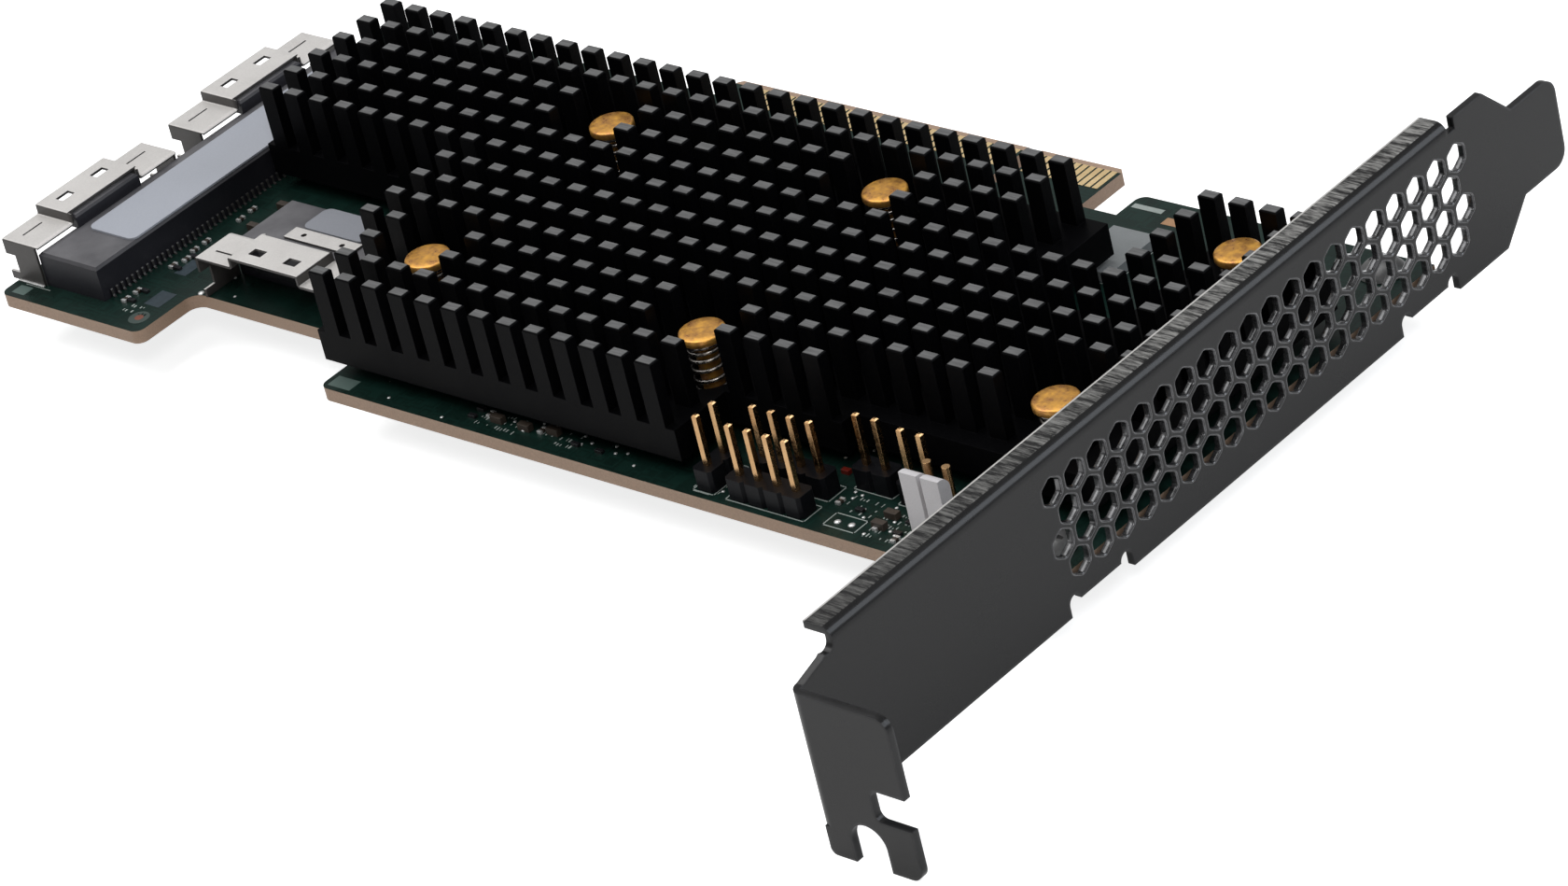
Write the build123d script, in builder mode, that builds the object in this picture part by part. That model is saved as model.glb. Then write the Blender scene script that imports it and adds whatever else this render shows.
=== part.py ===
from build123d import *
import os
from math import sqrt

os.makedirs("parts", exist_ok=True)

# Host bus adapter: a plug-in card that carries a full-height perforated bracket, a stepped
# pin-fin heat sink held by six sprung push pins, a double cable port on the end of the card,
# a single cable port in a cut-out of its upper edge, and a few pin headers.
# Frame: the origin is the middle of the seat of the bracket's top flange, +X points out of the
# computer's rear wall, +Y runs down the bracket towards the edge contacts, and +Z is the
# direction that the card's component side faces. All sizes are in millimetres.

# Bracket
SHEET = 0.86
BRACKET_WIDTH = 18.42
BRACKET_TOP = 14.7            # top edge of the bracket above the board's component side
FLANGE_DEPTH = 11.2
FLANGE_SHIFT = 3.26           # the flange sits lower than the bracket by this much
FLANGE_CORNER = 1.5
BEND_INSIDE = 0.5
SHOULDER_Y = 109.6            # from the flange's outer face to the 45 degree shoulders
SHOULDER_CUT = 4.115
TAIL_Y = 121.1
TAIL_CORNER = 1.9
SCREW_SLOT_WIDTH = 4.42
SCREW_SLOT_DEPTH = 4.8
SCREW_SLOT_X = 5.1            # from the bracket's outer face to the slot's middle
FLANGE_OVER = 0.3             # the flange's free end reaches past the bracket's outer face
KEY_NOTCH_WIDTH = 3.6
KEY_NOTCH_DEPTH = 4.4
KEY_NOTCH_UP = 10.8           # from the flange's upper end to the notch's middle
KEY_NOTCH_CORNER = 0.9
NECK_LENGTH = 4.4             # where the face steps down to the flange's height
RETURN_DEPTH = 3.4
RETURN_END = 103.4
RETURN_GAP = 1.2
RELIEF_RADIUS = 0.9

# Perforation
HEX_FLATS = 2.9
HEX_PITCH = 3.478
HEX_ROW_STEP = 2.977
HEX_FIRST_Y = 37.99
HEX_FIRST_DROP = 4.44         # from the bracket's top edge to the first row
HEX_COUNT = 20
HEX_ROWS = 4

# Card
BOARD_THICKNESS = 1.57
BOARD_GAP = 1.3               # from the bracket's outer face to the board's edge
BOARD_LENGTH = 151.7
BOARD_NEAR = 34.46            # from the flange's outer face to the board's upper edge
SHELF_REACH = 64.82           # from the upper edge to the lower edge beside the contacts
TONGUE_REACH = 3.98           # the tongue of the edge contacts stands out from the lower edge
EAR_LENGTH = 22.8
NOTCH_LENGTH = 28.6
NOTCH_DEPTH = 8.9
NOTCH_CORNER = 1.6
BOARD_CORNER = 1.2
TONGUE_START = 45.0           # from the bracket's outer face to the edge contacts' board tongue
TONGUE_LENGTH = 56.0
TONGUE_BEVEL = 0.9
SLOT_BEFORE_TONGUE = 5.0
SLOT_DEPTH = 8.25
KEY_AT = 11.65
KEY_WIDTH = 1.9
KEY_DEPTH = 7.6

# Edge contacts
CONTACT_PITCH = 1.0
CONTACT_WIDTH = 0.7
CONTACT_LENGTH = 3.6
CONTACT_SKIN = 0.05
CONTACT_SETBACK = 1.1
CONTACTS_BEFORE_KEY = 11
CONTACTS_AFTER_KEY = 38
CONTACT_FIRST = 0.85
CONTACT_AFTER_KEY = 0.85
CONTACT_BEVEL = 0.35

# Heat sink
FIN_PITCH_X = 3.956
FIN_PITCH_Y = 3.967
FIN_X = 2.2
FIN_Y = 1.4
FIN_TOP = 13.12               # flat tops of the fins above the board
BASE_BOTTOM = 2.0
BASE_THICKNESS = 3.7
FIRST_FIN_X = 4.75            # from the bracket's outer face to the column nearest to it
FIRST_FIN_Y = 37.4
LAST_FIN_CLEAR = 17.3          # from the last fin column to the end of the board
BASE_MARGIN = 1.2
BASE_WIDE_MARGIN = 2.7
BASE_FRONT_MARGIN = 2.0
BASE_THIN_MARGIN = 0.3
SEAT_DIAMETER = 7.4
SEAT_WEB = 0.8

# Chip under the heat sink
CHIP_SIZE = 29.0
CHIP_HEIGHT = 1.4
CHIP_AT_X = 74.0
CHIP_AT_Y = 62.0
PAD_SIZE = 26.0

# Push pins: distances from the bracket's outer face and from the flange's outer face
PIN_PLACES = [(94.0, 47.3), (54.2, 47.3), (93.8, 76.6), (54.2, 76.6), (10.2, 51.2), (10.2, 80.6)]

# Push pins
PIN_HEAD = 5.0
PIN_HEAD_HEIGHT = 0.9
PIN_HEAD_TOP = 10.6
PIN_SHAFT = 2.6
PIN_CLEARANCE = 0.2
PIN_BARB = 3.4
PIN_BARB_LENGTH = 1.3
BARB_TAPER = 38
SPRING_OUTSIDE = 4.2
SPRING_WIRE = 0.45
SLEEVE_SIDES = 16

# Cable ports
PORT_WIDTH = 22.3
PORT_SHEET = 0.3
PORT_SHELL_DEPTH = 5.5
PORT_SHOULDER = 5.1
PORT_BUMP = 6.3
PORT_BUMP_WIDTH = 10.9
PORT_DEPTH = 14.9
PORT_HOUSING_TOP = 4.2
PORT_HOUSING_SETBACK = 0.7
PORT_WALL = 2.8
PORT_SIDE_GAP = 0.05
PORT_MOUTH_FLOOR = 0.7
PORT_MOUTH_HEIGHT = 2.8
PORT_MOUTH_DEPTH = 4.8
PORT_BLADE = 0.9
PORT_BLADE_DEPTH = 4.2
PORT_BLADE_WIDTH = 12.6
PORT_WINDOW_X = 2.7
PORT_WINDOW_Y = 2.1
PORT_WINDOW_LENGTH = 1.9
PORT_WINDOW_WIDTH = 1.2
PORT_STRIP_REACH = 0.9
PORT_FLANK_CUT = 2.3
PORT_EDGE = 0.3
END_PORT_OVERHANG = 1.0       # the mouths stand past the end of the board
SIDE_PORT_OVERHANG = 0.1
END_PORT_PITCH = 26.45
END_PORT_FIRST_Y = 48.75
SIDE_PORT_FROM_END = 35.95     # from the end of the board to the side port's middle
CAP_THICKNESS = 0.25
SIDE_CAP_LENGTH = 9.6
SIDE_CAP_WIDTH = 4.3
END_CAP_LENGTH = 37.4
END_CAP_WIDTH = 7.5
END_CAP_SHIFT = 0.8
CAP_SETBACK = 0.2
CAP_CORNER = 1.0
CLIP_LENGTH = 10.4
CLIP_WIDTH = 2.1
CLIP_GAP = 0.3
CLIP_HOLE = 0.7
CLIP_HOLE_SPACING = 6.0

# Pin headers
HEADER_PITCH = 2.54
HEADER_BASE = 2.5
HEADER_PIN = 0.64
HEADER_PIN_TOP = 8.5
HEADER_PIN_TAIL = 1.2         # below the board
HEADER_GROOVE = 0.5
HEADER_DRILL = 1.04
DRILL_SIDES = 8               # the small drilled holes have few sides
# Each block: name, middle from the bracket's outer face and from the flange's outer face,
# number of pins along the board and number of pins across it
HEADERS = [
    ("header_corner", 46.3, 38.08, 1, 2),
    ("header_upper", 38.0, 36.75, 4, 1),
    ("header_lower", 38.0, 40.5, 4, 1),
    ("header_inner_pair", 29.25, 43.5, 2, 1),
    ("header_outer_pair", 22.95, 43.05, 2, 1),
]

# White two-pin wafer
WAFER_AT_X = 17.05
WAFER_NEAR = 37.2             # from the flange's outer face to the wafer's upright wall
WAFER_LENGTH = 5.1
WAFER_DEPTH = 4.9
WAFER_BASE = 3.0
WAFER_WALL = 1.6
WAFER_TOP = 8.1
WAFER_CURVE = 1.3
WAFER_SLIT = 0.5
WAFER_PITCH = 2.5
WAFER_PIN = 0.9
WAFER_PIN_TOP = 8.0
WAFER_PIN_SETBACK = 2.8

# Screws that hold the board to the bracket's tabs
TAB_LENGTH = 8.2
TAB_WIDTH = 6.2
TAB_FIRST_Y = 41.9
TAB_SECOND_Y = 96.2
SCREW_FROM_FACE = 5.6
SCREW_THREAD = 2.7
SCREW_TAPPED = 2.8
SCREW_HOLE = 3.2
SCREW_HEAD = 5.2
SCREW_HEAD_HEIGHT = 1.5
SCREW_LENGTH = 3.6

# Small parts on the board: sizes, then distances from the bracket's outer face, or from the
# board's end where a name starts with END, and from the flange's outer face
REGULATOR_X = 5.9
REGULATOR_Y = 8.2
REGULATOR_HEIGHT = 1.2
REGULATOR_AT = (34.45, 87.6)
CAPACITOR_LENGTH = 1.6
CAPACITOR_WIDTH = 0.8
CAPACITOR_HEIGHT = 0.8
CAPACITOR_PLACES = [(77.0, 37.0), (73.0, 37.0), (69.4, 37.6), (24.4, 37.6), (24.4, 39.6)]
END_CAPACITOR_PLACES = [(19.6, 52.0), (19.6, 56.2), (19.6, 61.0)]
RESISTOR_LENGTH = 1.0
RESISTOR_WIDTH = 0.5
RESISTOR_HEIGHT = 0.35
RESISTOR_PLACES = [
    (80.4, 36.6), (80.4, 38.0), (65.6, 36.8), (62.2, 36.8), (28.4, 39.2), (21.9, 37.4), (21.9, 39.4),
]
END_RESISTOR_PLACES = [(17.0, 39.2), (17.0, 41.3), (17.0, 46.4), (17.0, 49.0)]

# Places worked out from the sizes
FACE_X = -FLANGE_DEPTH / 2
RIM_Y = -SHEET
BOARD_Z = FLANGE_SHIFT + BRACKET_WIDTH / 2 - BRACKET_TOP
TOP_Z = BOARD_Z + BRACKET_TOP
LOW_Z = TOP_Z - BRACKET_WIDTH
FLANGE_TOP = TOP_Z - FLANGE_SHIFT
FLANGE_LOW = FLANGE_TOP - BRACKET_WIDTH
BEND_OUTSIDE = BEND_INSIDE + SHEET
BOARD_RIGHT = FACE_X - BOARD_GAP
BOARD_LEFT = BOARD_RIGHT - BOARD_LENGTH
BOARD_TOP_EDGE = RIM_Y + BOARD_NEAR
BOARD_SHELF = BOARD_TOP_EDGE + SHELF_REACH
BOARD_LOW_EDGE = BOARD_SHELF + TONGUE_REACH
BOARD_UNDER = BOARD_Z - BOARD_THICKNESS
TAB_UNDER = BOARD_UNDER - SHEET
NOTCH_LEFT = BOARD_LEFT + EAR_LENGTH
NOTCH_INNER = BOARD_TOP_EDGE + NOTCH_DEPTH
TONGUE_RIGHT = FACE_X - TONGUE_START
TONGUE_LEFT = TONGUE_RIGHT - TONGUE_LENGTH
KEY_MIDDLE = TONGUE_RIGHT - KEY_AT - KEY_WIDTH / 2
BASE_Z = BOARD_Z + BASE_BOTTOM
FIN_ROOT_Z = BASE_Z + BASE_THICKNESS
SEAT_Z = BASE_Z + SEAT_WEB
KEY_NOTCH_END = FACE_X + FLANGE_DEPTH - KEY_NOTCH_DEPTH
KEY_NOTCH_Z = FLANGE_TOP - KEY_NOTCH_UP
SCREW_X = FACE_X - SCREW_FROM_FACE
SCREW_YS = [RIM_Y + TAB_FIRST_Y, RIM_Y + TAB_SECOND_Y]
PUSH_PINS = [(FACE_X - from_face, RIM_Y + from_rim) for from_face, from_rim in PIN_PLACES]
HEADER_PIN_PLACES = [
    (
        FACE_X - from_face + (i - (along - 1) / 2) * HEADER_PITCH,
        RIM_Y + from_rim + (j - (over - 1) / 2) * HEADER_PITCH,
    )
    for _, from_face, from_rim, along, over in HEADERS
    for i in range(along)
    for j in range(over)
]
WAFER_MIDDLE = FACE_X - WAFER_AT_X
WAFER_FRONT = RIM_Y + WAFER_NEAR
WAFER_PIN_PLACES = [
    (WAFER_MIDDLE + side * WAFER_PITCH / 2, WAFER_FRONT + WAFER_PIN_SETBACK) for side in (-1, 1)
]
# Standing planes: one looks along the bracket, one across it, both with Z up
ALONG = Plane(origin=(FACE_X, 0, 0), x_dir=(0, 1, 0), z_dir=(1, 0, 0))


def across(y):
    """The XZ plane at y, facing the flange, so that a negative extrusion runs down the bracket."""
    return Plane(origin=(0, y, 0), x_dir=(1, 0, 0), z_dir=(0, -1, 0))


def level(z):
    """The horizontal plane at z."""
    return Plane.XY.offset(z)


def nearest(sketch, x, y):
    """The corner of a sketch that lies nearest to a point of its own plane."""
    return sketch.vertices().sort_by_distance((x, y))[0]


def finish(builder, name):
    """Label a sub-part and write its file."""
    builder.part.label = name
    export_step(builder.part, f"parts/{name}.step")


# Bracket: folded sheet with a top flange, a rolled return, two tabs and hexagonal holes
with BuildPart() as bracket:
    with BuildSketch(ALONG):
        with BuildLine():
            Polyline(
                (RIM_Y + BEND_OUTSIDE, LOW_Z),
                (RIM_Y + SHOULDER_Y, LOW_Z),
                (RIM_Y + SHOULDER_Y + SHOULDER_CUT, LOW_Z + SHOULDER_CUT),
                (RIM_Y + TAIL_Y, LOW_Z + SHOULDER_CUT),
                (RIM_Y + TAIL_Y, TOP_Z - SHOULDER_CUT),
                (RIM_Y + SHOULDER_Y + SHOULDER_CUT, TOP_Z - SHOULDER_CUT),
                (RIM_Y + SHOULDER_Y, TOP_Z),
                (RIM_Y + RETURN_END + RETURN_GAP, TOP_Z),
                (RIM_Y + RETURN_END + RETURN_GAP, TOP_Z - BEND_OUTSIDE),
                (RIM_Y + NECK_LENGTH + 2 * RELIEF_RADIUS, TOP_Z - BEND_OUTSIDE),
                (RIM_Y + NECK_LENGTH, FLANGE_TOP + RELIEF_RADIUS),
                (RIM_Y + BEND_OUTSIDE, FLANGE_TOP),
                close=True,
            )
        make_face()
        with Locations((RIM_Y + NECK_LENGTH + RELIEF_RADIUS, TOP_Z - BEND_OUTSIDE)):
            Circle(RELIEF_RADIUS, mode=Mode.SUBTRACT)
        for screw_y in SCREW_YS:
            with Locations((screw_y, LOW_Z)):
                Rectangle(TAB_WIDTH, 2 * (TAB_UNDER - LOW_Z), mode=Mode.SUBTRACT)
            with Locations(*[(screw_y + side * (TAB_WIDTH / 2 + RELIEF_RADIUS), LOW_Z) for side in (-1, 1)]):
                SlotOverall(2 * (BOARD_UNDER - LOW_Z), 2 * RELIEF_RADIUS, rotation=90, mode=Mode.SUBTRACT)
        for hex_row in range(HEX_ROWS):
            shifted = hex_row % 2
            count = HEX_COUNT - shifted
            row_middle = RIM_Y + HEX_FIRST_Y + (HEX_COUNT - 1) * HEX_PITCH / 2
            with Locations((row_middle, TOP_Z - HEX_FIRST_DROP - hex_row * HEX_ROW_STEP)):
                with GridLocations(HEX_PITCH, HEX_PITCH, count, 1):
                    RegularPolygon(HEX_FLATS / sqrt(3), 6, rotation=30, mode=Mode.SUBTRACT)
    extrude(amount=-SHEET)
    fillet(bracket.edges().filter_by(Axis.X).group_by(Axis.Y)[-1], TAIL_CORNER)
    # The fold between face and flange
    with BuildSketch(level(LOW_Z)):
        with BuildLine():
            Polyline(
                (FACE_X - SHEET, RIM_Y + 2 * BEND_OUTSIDE),
                (FACE_X - SHEET, RIM_Y),
                (FACE_X + BEND_OUTSIDE, RIM_Y),
                (FACE_X + BEND_OUTSIDE, 0),
                (FACE_X, 0),
                (FACE_X, RIM_Y + 2 * BEND_OUTSIDE),
                close=True,
            )
        fold = make_face()
        fillet(nearest(fold, FACE_X - SHEET, RIM_Y), BEND_OUTSIDE)
        fillet(nearest(fold, FACE_X, 0), BEND_INSIDE)
    extrude(amount=FLANGE_TOP - LOW_Z)
    # The flange with its screw slot and the locating notch
    with BuildSketch(across(RIM_Y)) as flange:
        with Locations((FACE_X + (FLANGE_DEPTH + BEND_INSIDE) / 2, (FLANGE_TOP + FLANGE_LOW) / 2)):
            Rectangle(FLANGE_DEPTH - BEND_INSIDE, BRACKET_WIDTH)
        with Locations((FACE_X - FLANGE_OVER, (LOW_Z + FLANGE_LOW) / 2)):
            Rectangle(2 * BEND_OUTSIDE, LOW_Z - FLANGE_LOW, align=(Align.MIN, Align.CENTER))
        with Locations((KEY_NOTCH_END, KEY_NOTCH_Z)):
            Rectangle(
                2 * KEY_NOTCH_DEPTH, KEY_NOTCH_WIDTH, align=(Align.MIN, Align.CENTER), mode=Mode.SUBTRACT
            )
        with Locations((FACE_X + SCREW_SLOT_X, FLANGE_LOW)):
            SlotOverall(2 * SCREW_SLOT_DEPTH, SCREW_SLOT_WIDTH, rotation=90, mode=Mode.SUBTRACT)
        notch_ends = [(KEY_NOTCH_END, KEY_NOTCH_Z + side * KEY_NOTCH_WIDTH / 2) for side in (-1, 1)]
        fillet([nearest(flange, x, z) for x, z in notch_ends], KEY_NOTCH_CORNER)
        flange_corners = [(FACE_X + FLANGE_DEPTH, FLANGE_TOP), (FACE_X + FLANGE_DEPTH, FLANGE_LOW)]
        fillet([nearest(flange, x, z) for x, z in flange_corners], FLANGE_CORNER)
        fillet(nearest(flange, FACE_X - FLANGE_OVER, FLANGE_LOW), FLANGE_CORNER / 2)
    extrude(amount=-SHEET)
    # The return along the upper edge, rolled inwards over a smooth bend
    with BuildSketch(across(RIM_Y + NECK_LENGTH + 2 * RELIEF_RADIUS)):
        with BuildLine():
            Polyline(
                (FACE_X, TOP_Z - 2 * BEND_OUTSIDE),
                (FACE_X, TOP_Z),
                (FACE_X - RETURN_DEPTH, TOP_Z),
                (FACE_X - RETURN_DEPTH, TOP_Z - SHEET),
                (FACE_X - SHEET, TOP_Z - SHEET),
                (FACE_X - SHEET, TOP_Z - 2 * BEND_OUTSIDE),
                close=True,
            )
        roll = make_face()
        fillet(nearest(roll, FACE_X, TOP_Z), BEND_OUTSIDE)
        fillet(nearest(roll, FACE_X - SHEET, TOP_Z - SHEET), BEND_INSIDE)
    extrude(amount=-(RETURN_END - NECK_LENGTH - 2 * RELIEF_RADIUS))
    # Two tapped tabs under the board
    for screw_y in SCREW_YS:
        with BuildSketch(across(screw_y - TAB_WIDTH / 2)):
            with BuildLine():
                Polyline(
                    (FACE_X, TAB_UNDER + BEND_OUTSIDE),
                    (FACE_X, TAB_UNDER),
                    (FACE_X - TAB_LENGTH, TAB_UNDER),
                    (FACE_X - TAB_LENGTH, BOARD_UNDER),
                    (FACE_X - SHEET, BOARD_UNDER),
                    (FACE_X - SHEET, TAB_UNDER + BEND_OUTSIDE),
                    close=True,
                )
            make_face()
        extrude(amount=-TAB_WIDTH)
    with Locations(*[(SCREW_X, y, BOARD_UNDER) for y in SCREW_YS]):
        Hole(SCREW_TAPPED / 2, depth=SHEET)
finish(bracket, "bracket")

# Printed circuit board: ear and notch on the upper edge, tongue and key on the lower edge
with BuildPart() as board:
    with BuildSketch(level(BOARD_UNDER)) as outline:
        with Locations(((BOARD_LEFT + BOARD_RIGHT) / 2, (BOARD_TOP_EDGE + BOARD_SHELF) / 2)):
            Rectangle(BOARD_LENGTH, SHELF_REACH)
        with Locations(((TONGUE_LEFT + TONGUE_RIGHT) / 2, (BOARD_TOP_EDGE + BOARD_LOW_EDGE) / 2)):
            Rectangle(TONGUE_LENGTH, SHELF_REACH + TONGUE_REACH)
        with Locations((NOTCH_LEFT + NOTCH_LENGTH / 2, BOARD_TOP_EDGE)):
            Rectangle(NOTCH_LENGTH, 2 * NOTCH_DEPTH, mode=Mode.SUBTRACT)
        with Locations((TONGUE_RIGHT + SLOT_BEFORE_TONGUE / 2, BOARD_LOW_EDGE)):
            Rectangle(SLOT_BEFORE_TONGUE, 2 * SLOT_DEPTH, mode=Mode.SUBTRACT)
        with Locations((KEY_MIDDLE, BOARD_LOW_EDGE)):
            Rectangle(KEY_WIDTH, 2 * KEY_DEPTH, mode=Mode.SUBTRACT)
        inner = [(NOTCH_LEFT, NOTCH_INNER), (NOTCH_LEFT + NOTCH_LENGTH, NOTCH_INNER)]
        fillet([nearest(outline, x, y) for x, y in inner], NOTCH_CORNER)
        outer = [
            (BOARD_LEFT, BOARD_TOP_EDGE),
            (NOTCH_LEFT, BOARD_TOP_EDGE),
            (NOTCH_LEFT + NOTCH_LENGTH, BOARD_TOP_EDGE),
            (BOARD_LEFT, BOARD_SHELF),
            (TONGUE_RIGHT + SLOT_BEFORE_TONGUE, BOARD_SHELF),
        ]
        fillet([nearest(outline, x, y) for x, y in outer], BOARD_CORNER)
        ends = [(TONGUE_LEFT, BOARD_LOW_EDGE), (TONGUE_RIGHT, BOARD_LOW_EDGE)]
        chamfer([nearest(outline, x, y) for x, y in ends], TONGUE_BEVEL)
        with Locations(*PUSH_PINS):
            RegularPolygon(PIN_SHAFT / 2 + PIN_CLEARANCE, DRILL_SIDES, mode=Mode.SUBTRACT)
        with Locations(*[(SCREW_X, y) for y in SCREW_YS]):
            Circle(SCREW_HOLE / 2, mode=Mode.SUBTRACT)
        with Locations(*HEADER_PIN_PLACES, *WAFER_PIN_PLACES):
            RegularPolygon(HEADER_DRILL / 2, DRILL_SIDES, mode=Mode.SUBTRACT)
    extrude(amount=BOARD_THICKNESS)
    tongue_edges = board.edges().filter_by(Axis.X).group_by(Axis.Y)[-1]
    chamfer(tongue_edges, CONTACT_BEVEL)
finish(board, "board")

# Edge contacts: a row of gold strips on each face of the tongue, either side of the key
SHORT_ROW = (CONTACTS_BEFORE_KEY - 1) * CONTACT_PITCH
LONG_ROW = (CONTACTS_AFTER_KEY - 1) * CONTACT_PITCH
SHORT_MIDDLE = TONGUE_RIGHT - CONTACT_FIRST - SHORT_ROW / 2
LONG_MIDDLE = KEY_MIDDLE - KEY_WIDTH / 2 - CONTACT_AFTER_KEY - LONG_ROW / 2
CONTACT_Y = BOARD_LOW_EDGE - CONTACT_SETBACK - CONTACT_LENGTH / 2
with BuildPart() as edge_contacts:
    for skin_z in (BOARD_Z, BOARD_UNDER - CONTACT_SKIN):
        with BuildSketch(level(skin_z)):
            with Locations((SHORT_MIDDLE, CONTACT_Y)):
                with GridLocations(CONTACT_PITCH, 1, CONTACTS_BEFORE_KEY, 1):
                    Rectangle(CONTACT_WIDTH, CONTACT_LENGTH)
            with Locations((LONG_MIDDLE, CONTACT_Y)):
                with GridLocations(CONTACT_PITCH, 1, CONTACTS_AFTER_KEY, 1):
                    Rectangle(CONTACT_WIDTH, CONTACT_LENGTH)
        extrude(amount=CONTACT_SKIN)
finish(edge_contacts, "edge_contacts")

# Heat sink: one stepped slab with cross-cut pin fins, left out around the push pins
LAST = int((BOARD_GAP + BOARD_LENGTH - LAST_FIN_CLEAR - FIRST_FIN_X) / FIN_PITCH_X)
WIDE = LAST - 8
NARROW = LAST - 9
FIN_SPANS = [
    [(12, NARROW)],
    [(12, NARROW)],
    [(8, NARROW)],
    [(3, WIDE)],
    [(3, WIDE)],
    [(0, WIDE)],
    [(0, WIDE)],
    [(0, LAST)],
    [(0, LAST)],
    [(0, 3), (8, LAST)],
    [(0, 3), (8, LAST)],
    [(0, 3), (8, LAST)],
    [(0, 3), (8, LAST)],
]
PIN_KEEP_OUT = 4.6            # no fin stands nearer to a push pin's middle than this


def column(index):
    """X of a fin column, counted from the bracket."""
    return FACE_X - FIRST_FIN_X - index * FIN_PITCH_X


def row(index):
    """Y of a fin row, counted from the card's upper edge."""
    return RIM_Y + FIRST_FIN_Y + index * FIN_PITCH_Y


def clear_of_pins(x, y):
    """Whether a fin at this place leaves room for every push pin's head."""
    return all(sqrt((x - pin_x) ** 2 + (y - pin_y) ** 2) > PIN_KEEP_OUT for pin_x, pin_y in PUSH_PINS)


def fin_places():
    """Middles of all the fins."""
    places = []
    for line, spans in enumerate(FIN_SPANS):
        for first, last in spans:
            places += [(column(i), row(line)) for i in range(first, last + 1)]
    return [place for place in places if clear_of_pins(*place)]


def left_of(index, margin=BASE_MARGIN):
    """X of a base edge to the left of a fin column."""
    return column(index) - FIN_X / 2 - margin


def right_of(index, margin=BASE_MARGIN):
    """X of a base edge to the right of a fin column."""
    return column(index) + FIN_X / 2 + margin


def above(index, margin=0):
    """Y of a base edge on the upper side of a fin row."""
    return row(index) - FIN_Y / 2 - margin


BASE_BACK = row(12) + FIN_Y / 2 + BASE_THIN_MARGIN
ROW_GAP = FIN_PITCH_Y - FIN_Y
with BuildPart() as heat_sink:
    with BuildSketch(level(BASE_Z)):
        with BuildLine():
            Polyline(
                (left_of(NARROW), above(0)),
                (right_of(12), above(0)),
                (right_of(12), above(2)),
                (right_of(8), above(2)),
                (right_of(8), above(3, BASE_FRONT_MARGIN)),
                (right_of(0, BASE_THIN_MARGIN), above(3, BASE_FRONT_MARGIN)),
                (right_of(0, BASE_THIN_MARGIN), BASE_BACK),
                (left_of(3), BASE_BACK),
                (left_of(3), above(9, ROW_GAP / 2)),
                (right_of(8, BASE_WIDE_MARGIN), above(9, ROW_GAP / 2)),
                (right_of(8, BASE_WIDE_MARGIN), BASE_BACK),
                (left_of(LAST), BASE_BACK),
                (left_of(LAST), above(7)),
                (left_of(WIDE, BASE_THIN_MARGIN), above(7)),
                (left_of(WIDE, BASE_THIN_MARGIN), above(3, ROW_GAP / 2)),
                (left_of(NARROW), above(3, ROW_GAP / 2)),
                close=True,
            )
        make_face()
        with Locations(*PUSH_PINS):
            RegularPolygon(PIN_SHAFT / 2 + PIN_CLEARANCE, DRILL_SIDES, mode=Mode.SUBTRACT)
    extrude(amount=BASE_THICKNESS)
    with BuildSketch(level(SEAT_Z)):
        with Locations(*PUSH_PINS):
            Circle(SEAT_DIAMETER / 2)
    extrude(amount=BASE_THICKNESS - SEAT_WEB, mode=Mode.SUBTRACT)
    with BuildSketch(level(FIN_ROOT_Z)):
        with Locations(*fin_places()):
            Rectangle(FIN_X, FIN_Y)
    extrude(amount=BOARD_Z + FIN_TOP - FIN_ROOT_Z)
finish(heat_sink, "heat_sink")

# Controller chip and the pad that carries its heat into the base
CHIP_MIDDLE = (FACE_X - CHIP_AT_X, RIM_Y + CHIP_AT_Y)
with BuildPart() as controller_chip:
    with BuildSketch(level(BOARD_Z)):
        with Locations(CHIP_MIDDLE):
            Rectangle(CHIP_SIZE, CHIP_SIZE)
    extrude(amount=CHIP_HEIGHT)
    chamfer(controller_chip.edges().group_by(Axis.Z)[-1], CHIP_HEIGHT / 4)
finish(controller_chip, "controller_chip")

with BuildPart() as thermal_pad:
    with BuildSketch(level(BOARD_Z + CHIP_HEIGHT)):
        with Locations(CHIP_MIDDLE):
            Rectangle(PAD_SIZE, PAD_SIZE)
    extrude(amount=BASE_BOTTOM - CHIP_HEIGHT)
finish(thermal_pad, "thermal_pad")

# Push pins: flat round heads, slim shafts through base and board, barbs under the board
HEAD_Z = BOARD_Z + PIN_HEAD_TOP - PIN_HEAD_HEIGHT
with BuildPart() as push_pins:
    with BuildSketch(level(HEAD_Z)):
        with Locations(*PUSH_PINS):
            Circle(PIN_HEAD / 2)
    extrude(amount=PIN_HEAD_HEIGHT)
    with BuildSketch(level(BOARD_UNDER)):
        with Locations(*PUSH_PINS):
            RegularPolygon(PIN_SHAFT / 2, DRILL_SIDES)
    extrude(amount=HEAD_Z - BOARD_UNDER)
    with BuildSketch(level(BOARD_UNDER)):
        with Locations(*PUSH_PINS):
            RegularPolygon(PIN_BARB / 2, DRILL_SIDES)
    extrude(amount=-PIN_BARB_LENGTH, taper=BARB_TAPER)
finish(push_pins, "push_pins")

# Springs between the heads and the seats, as sleeves of the coils' size
with BuildPart() as pin_springs:
    with BuildSketch(level(SEAT_Z)):
        with Locations(*PUSH_PINS):
            RegularPolygon(SPRING_OUTSIDE / 2, SLEEVE_SIDES)
            RegularPolygon(SPRING_OUTSIDE / 2 - SPRING_WIRE, SLEEVE_SIDES, mode=Mode.SUBTRACT)
    extrude(amount=HEAD_Z - SEAT_Z)
finish(pin_springs, "pin_springs")

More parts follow.
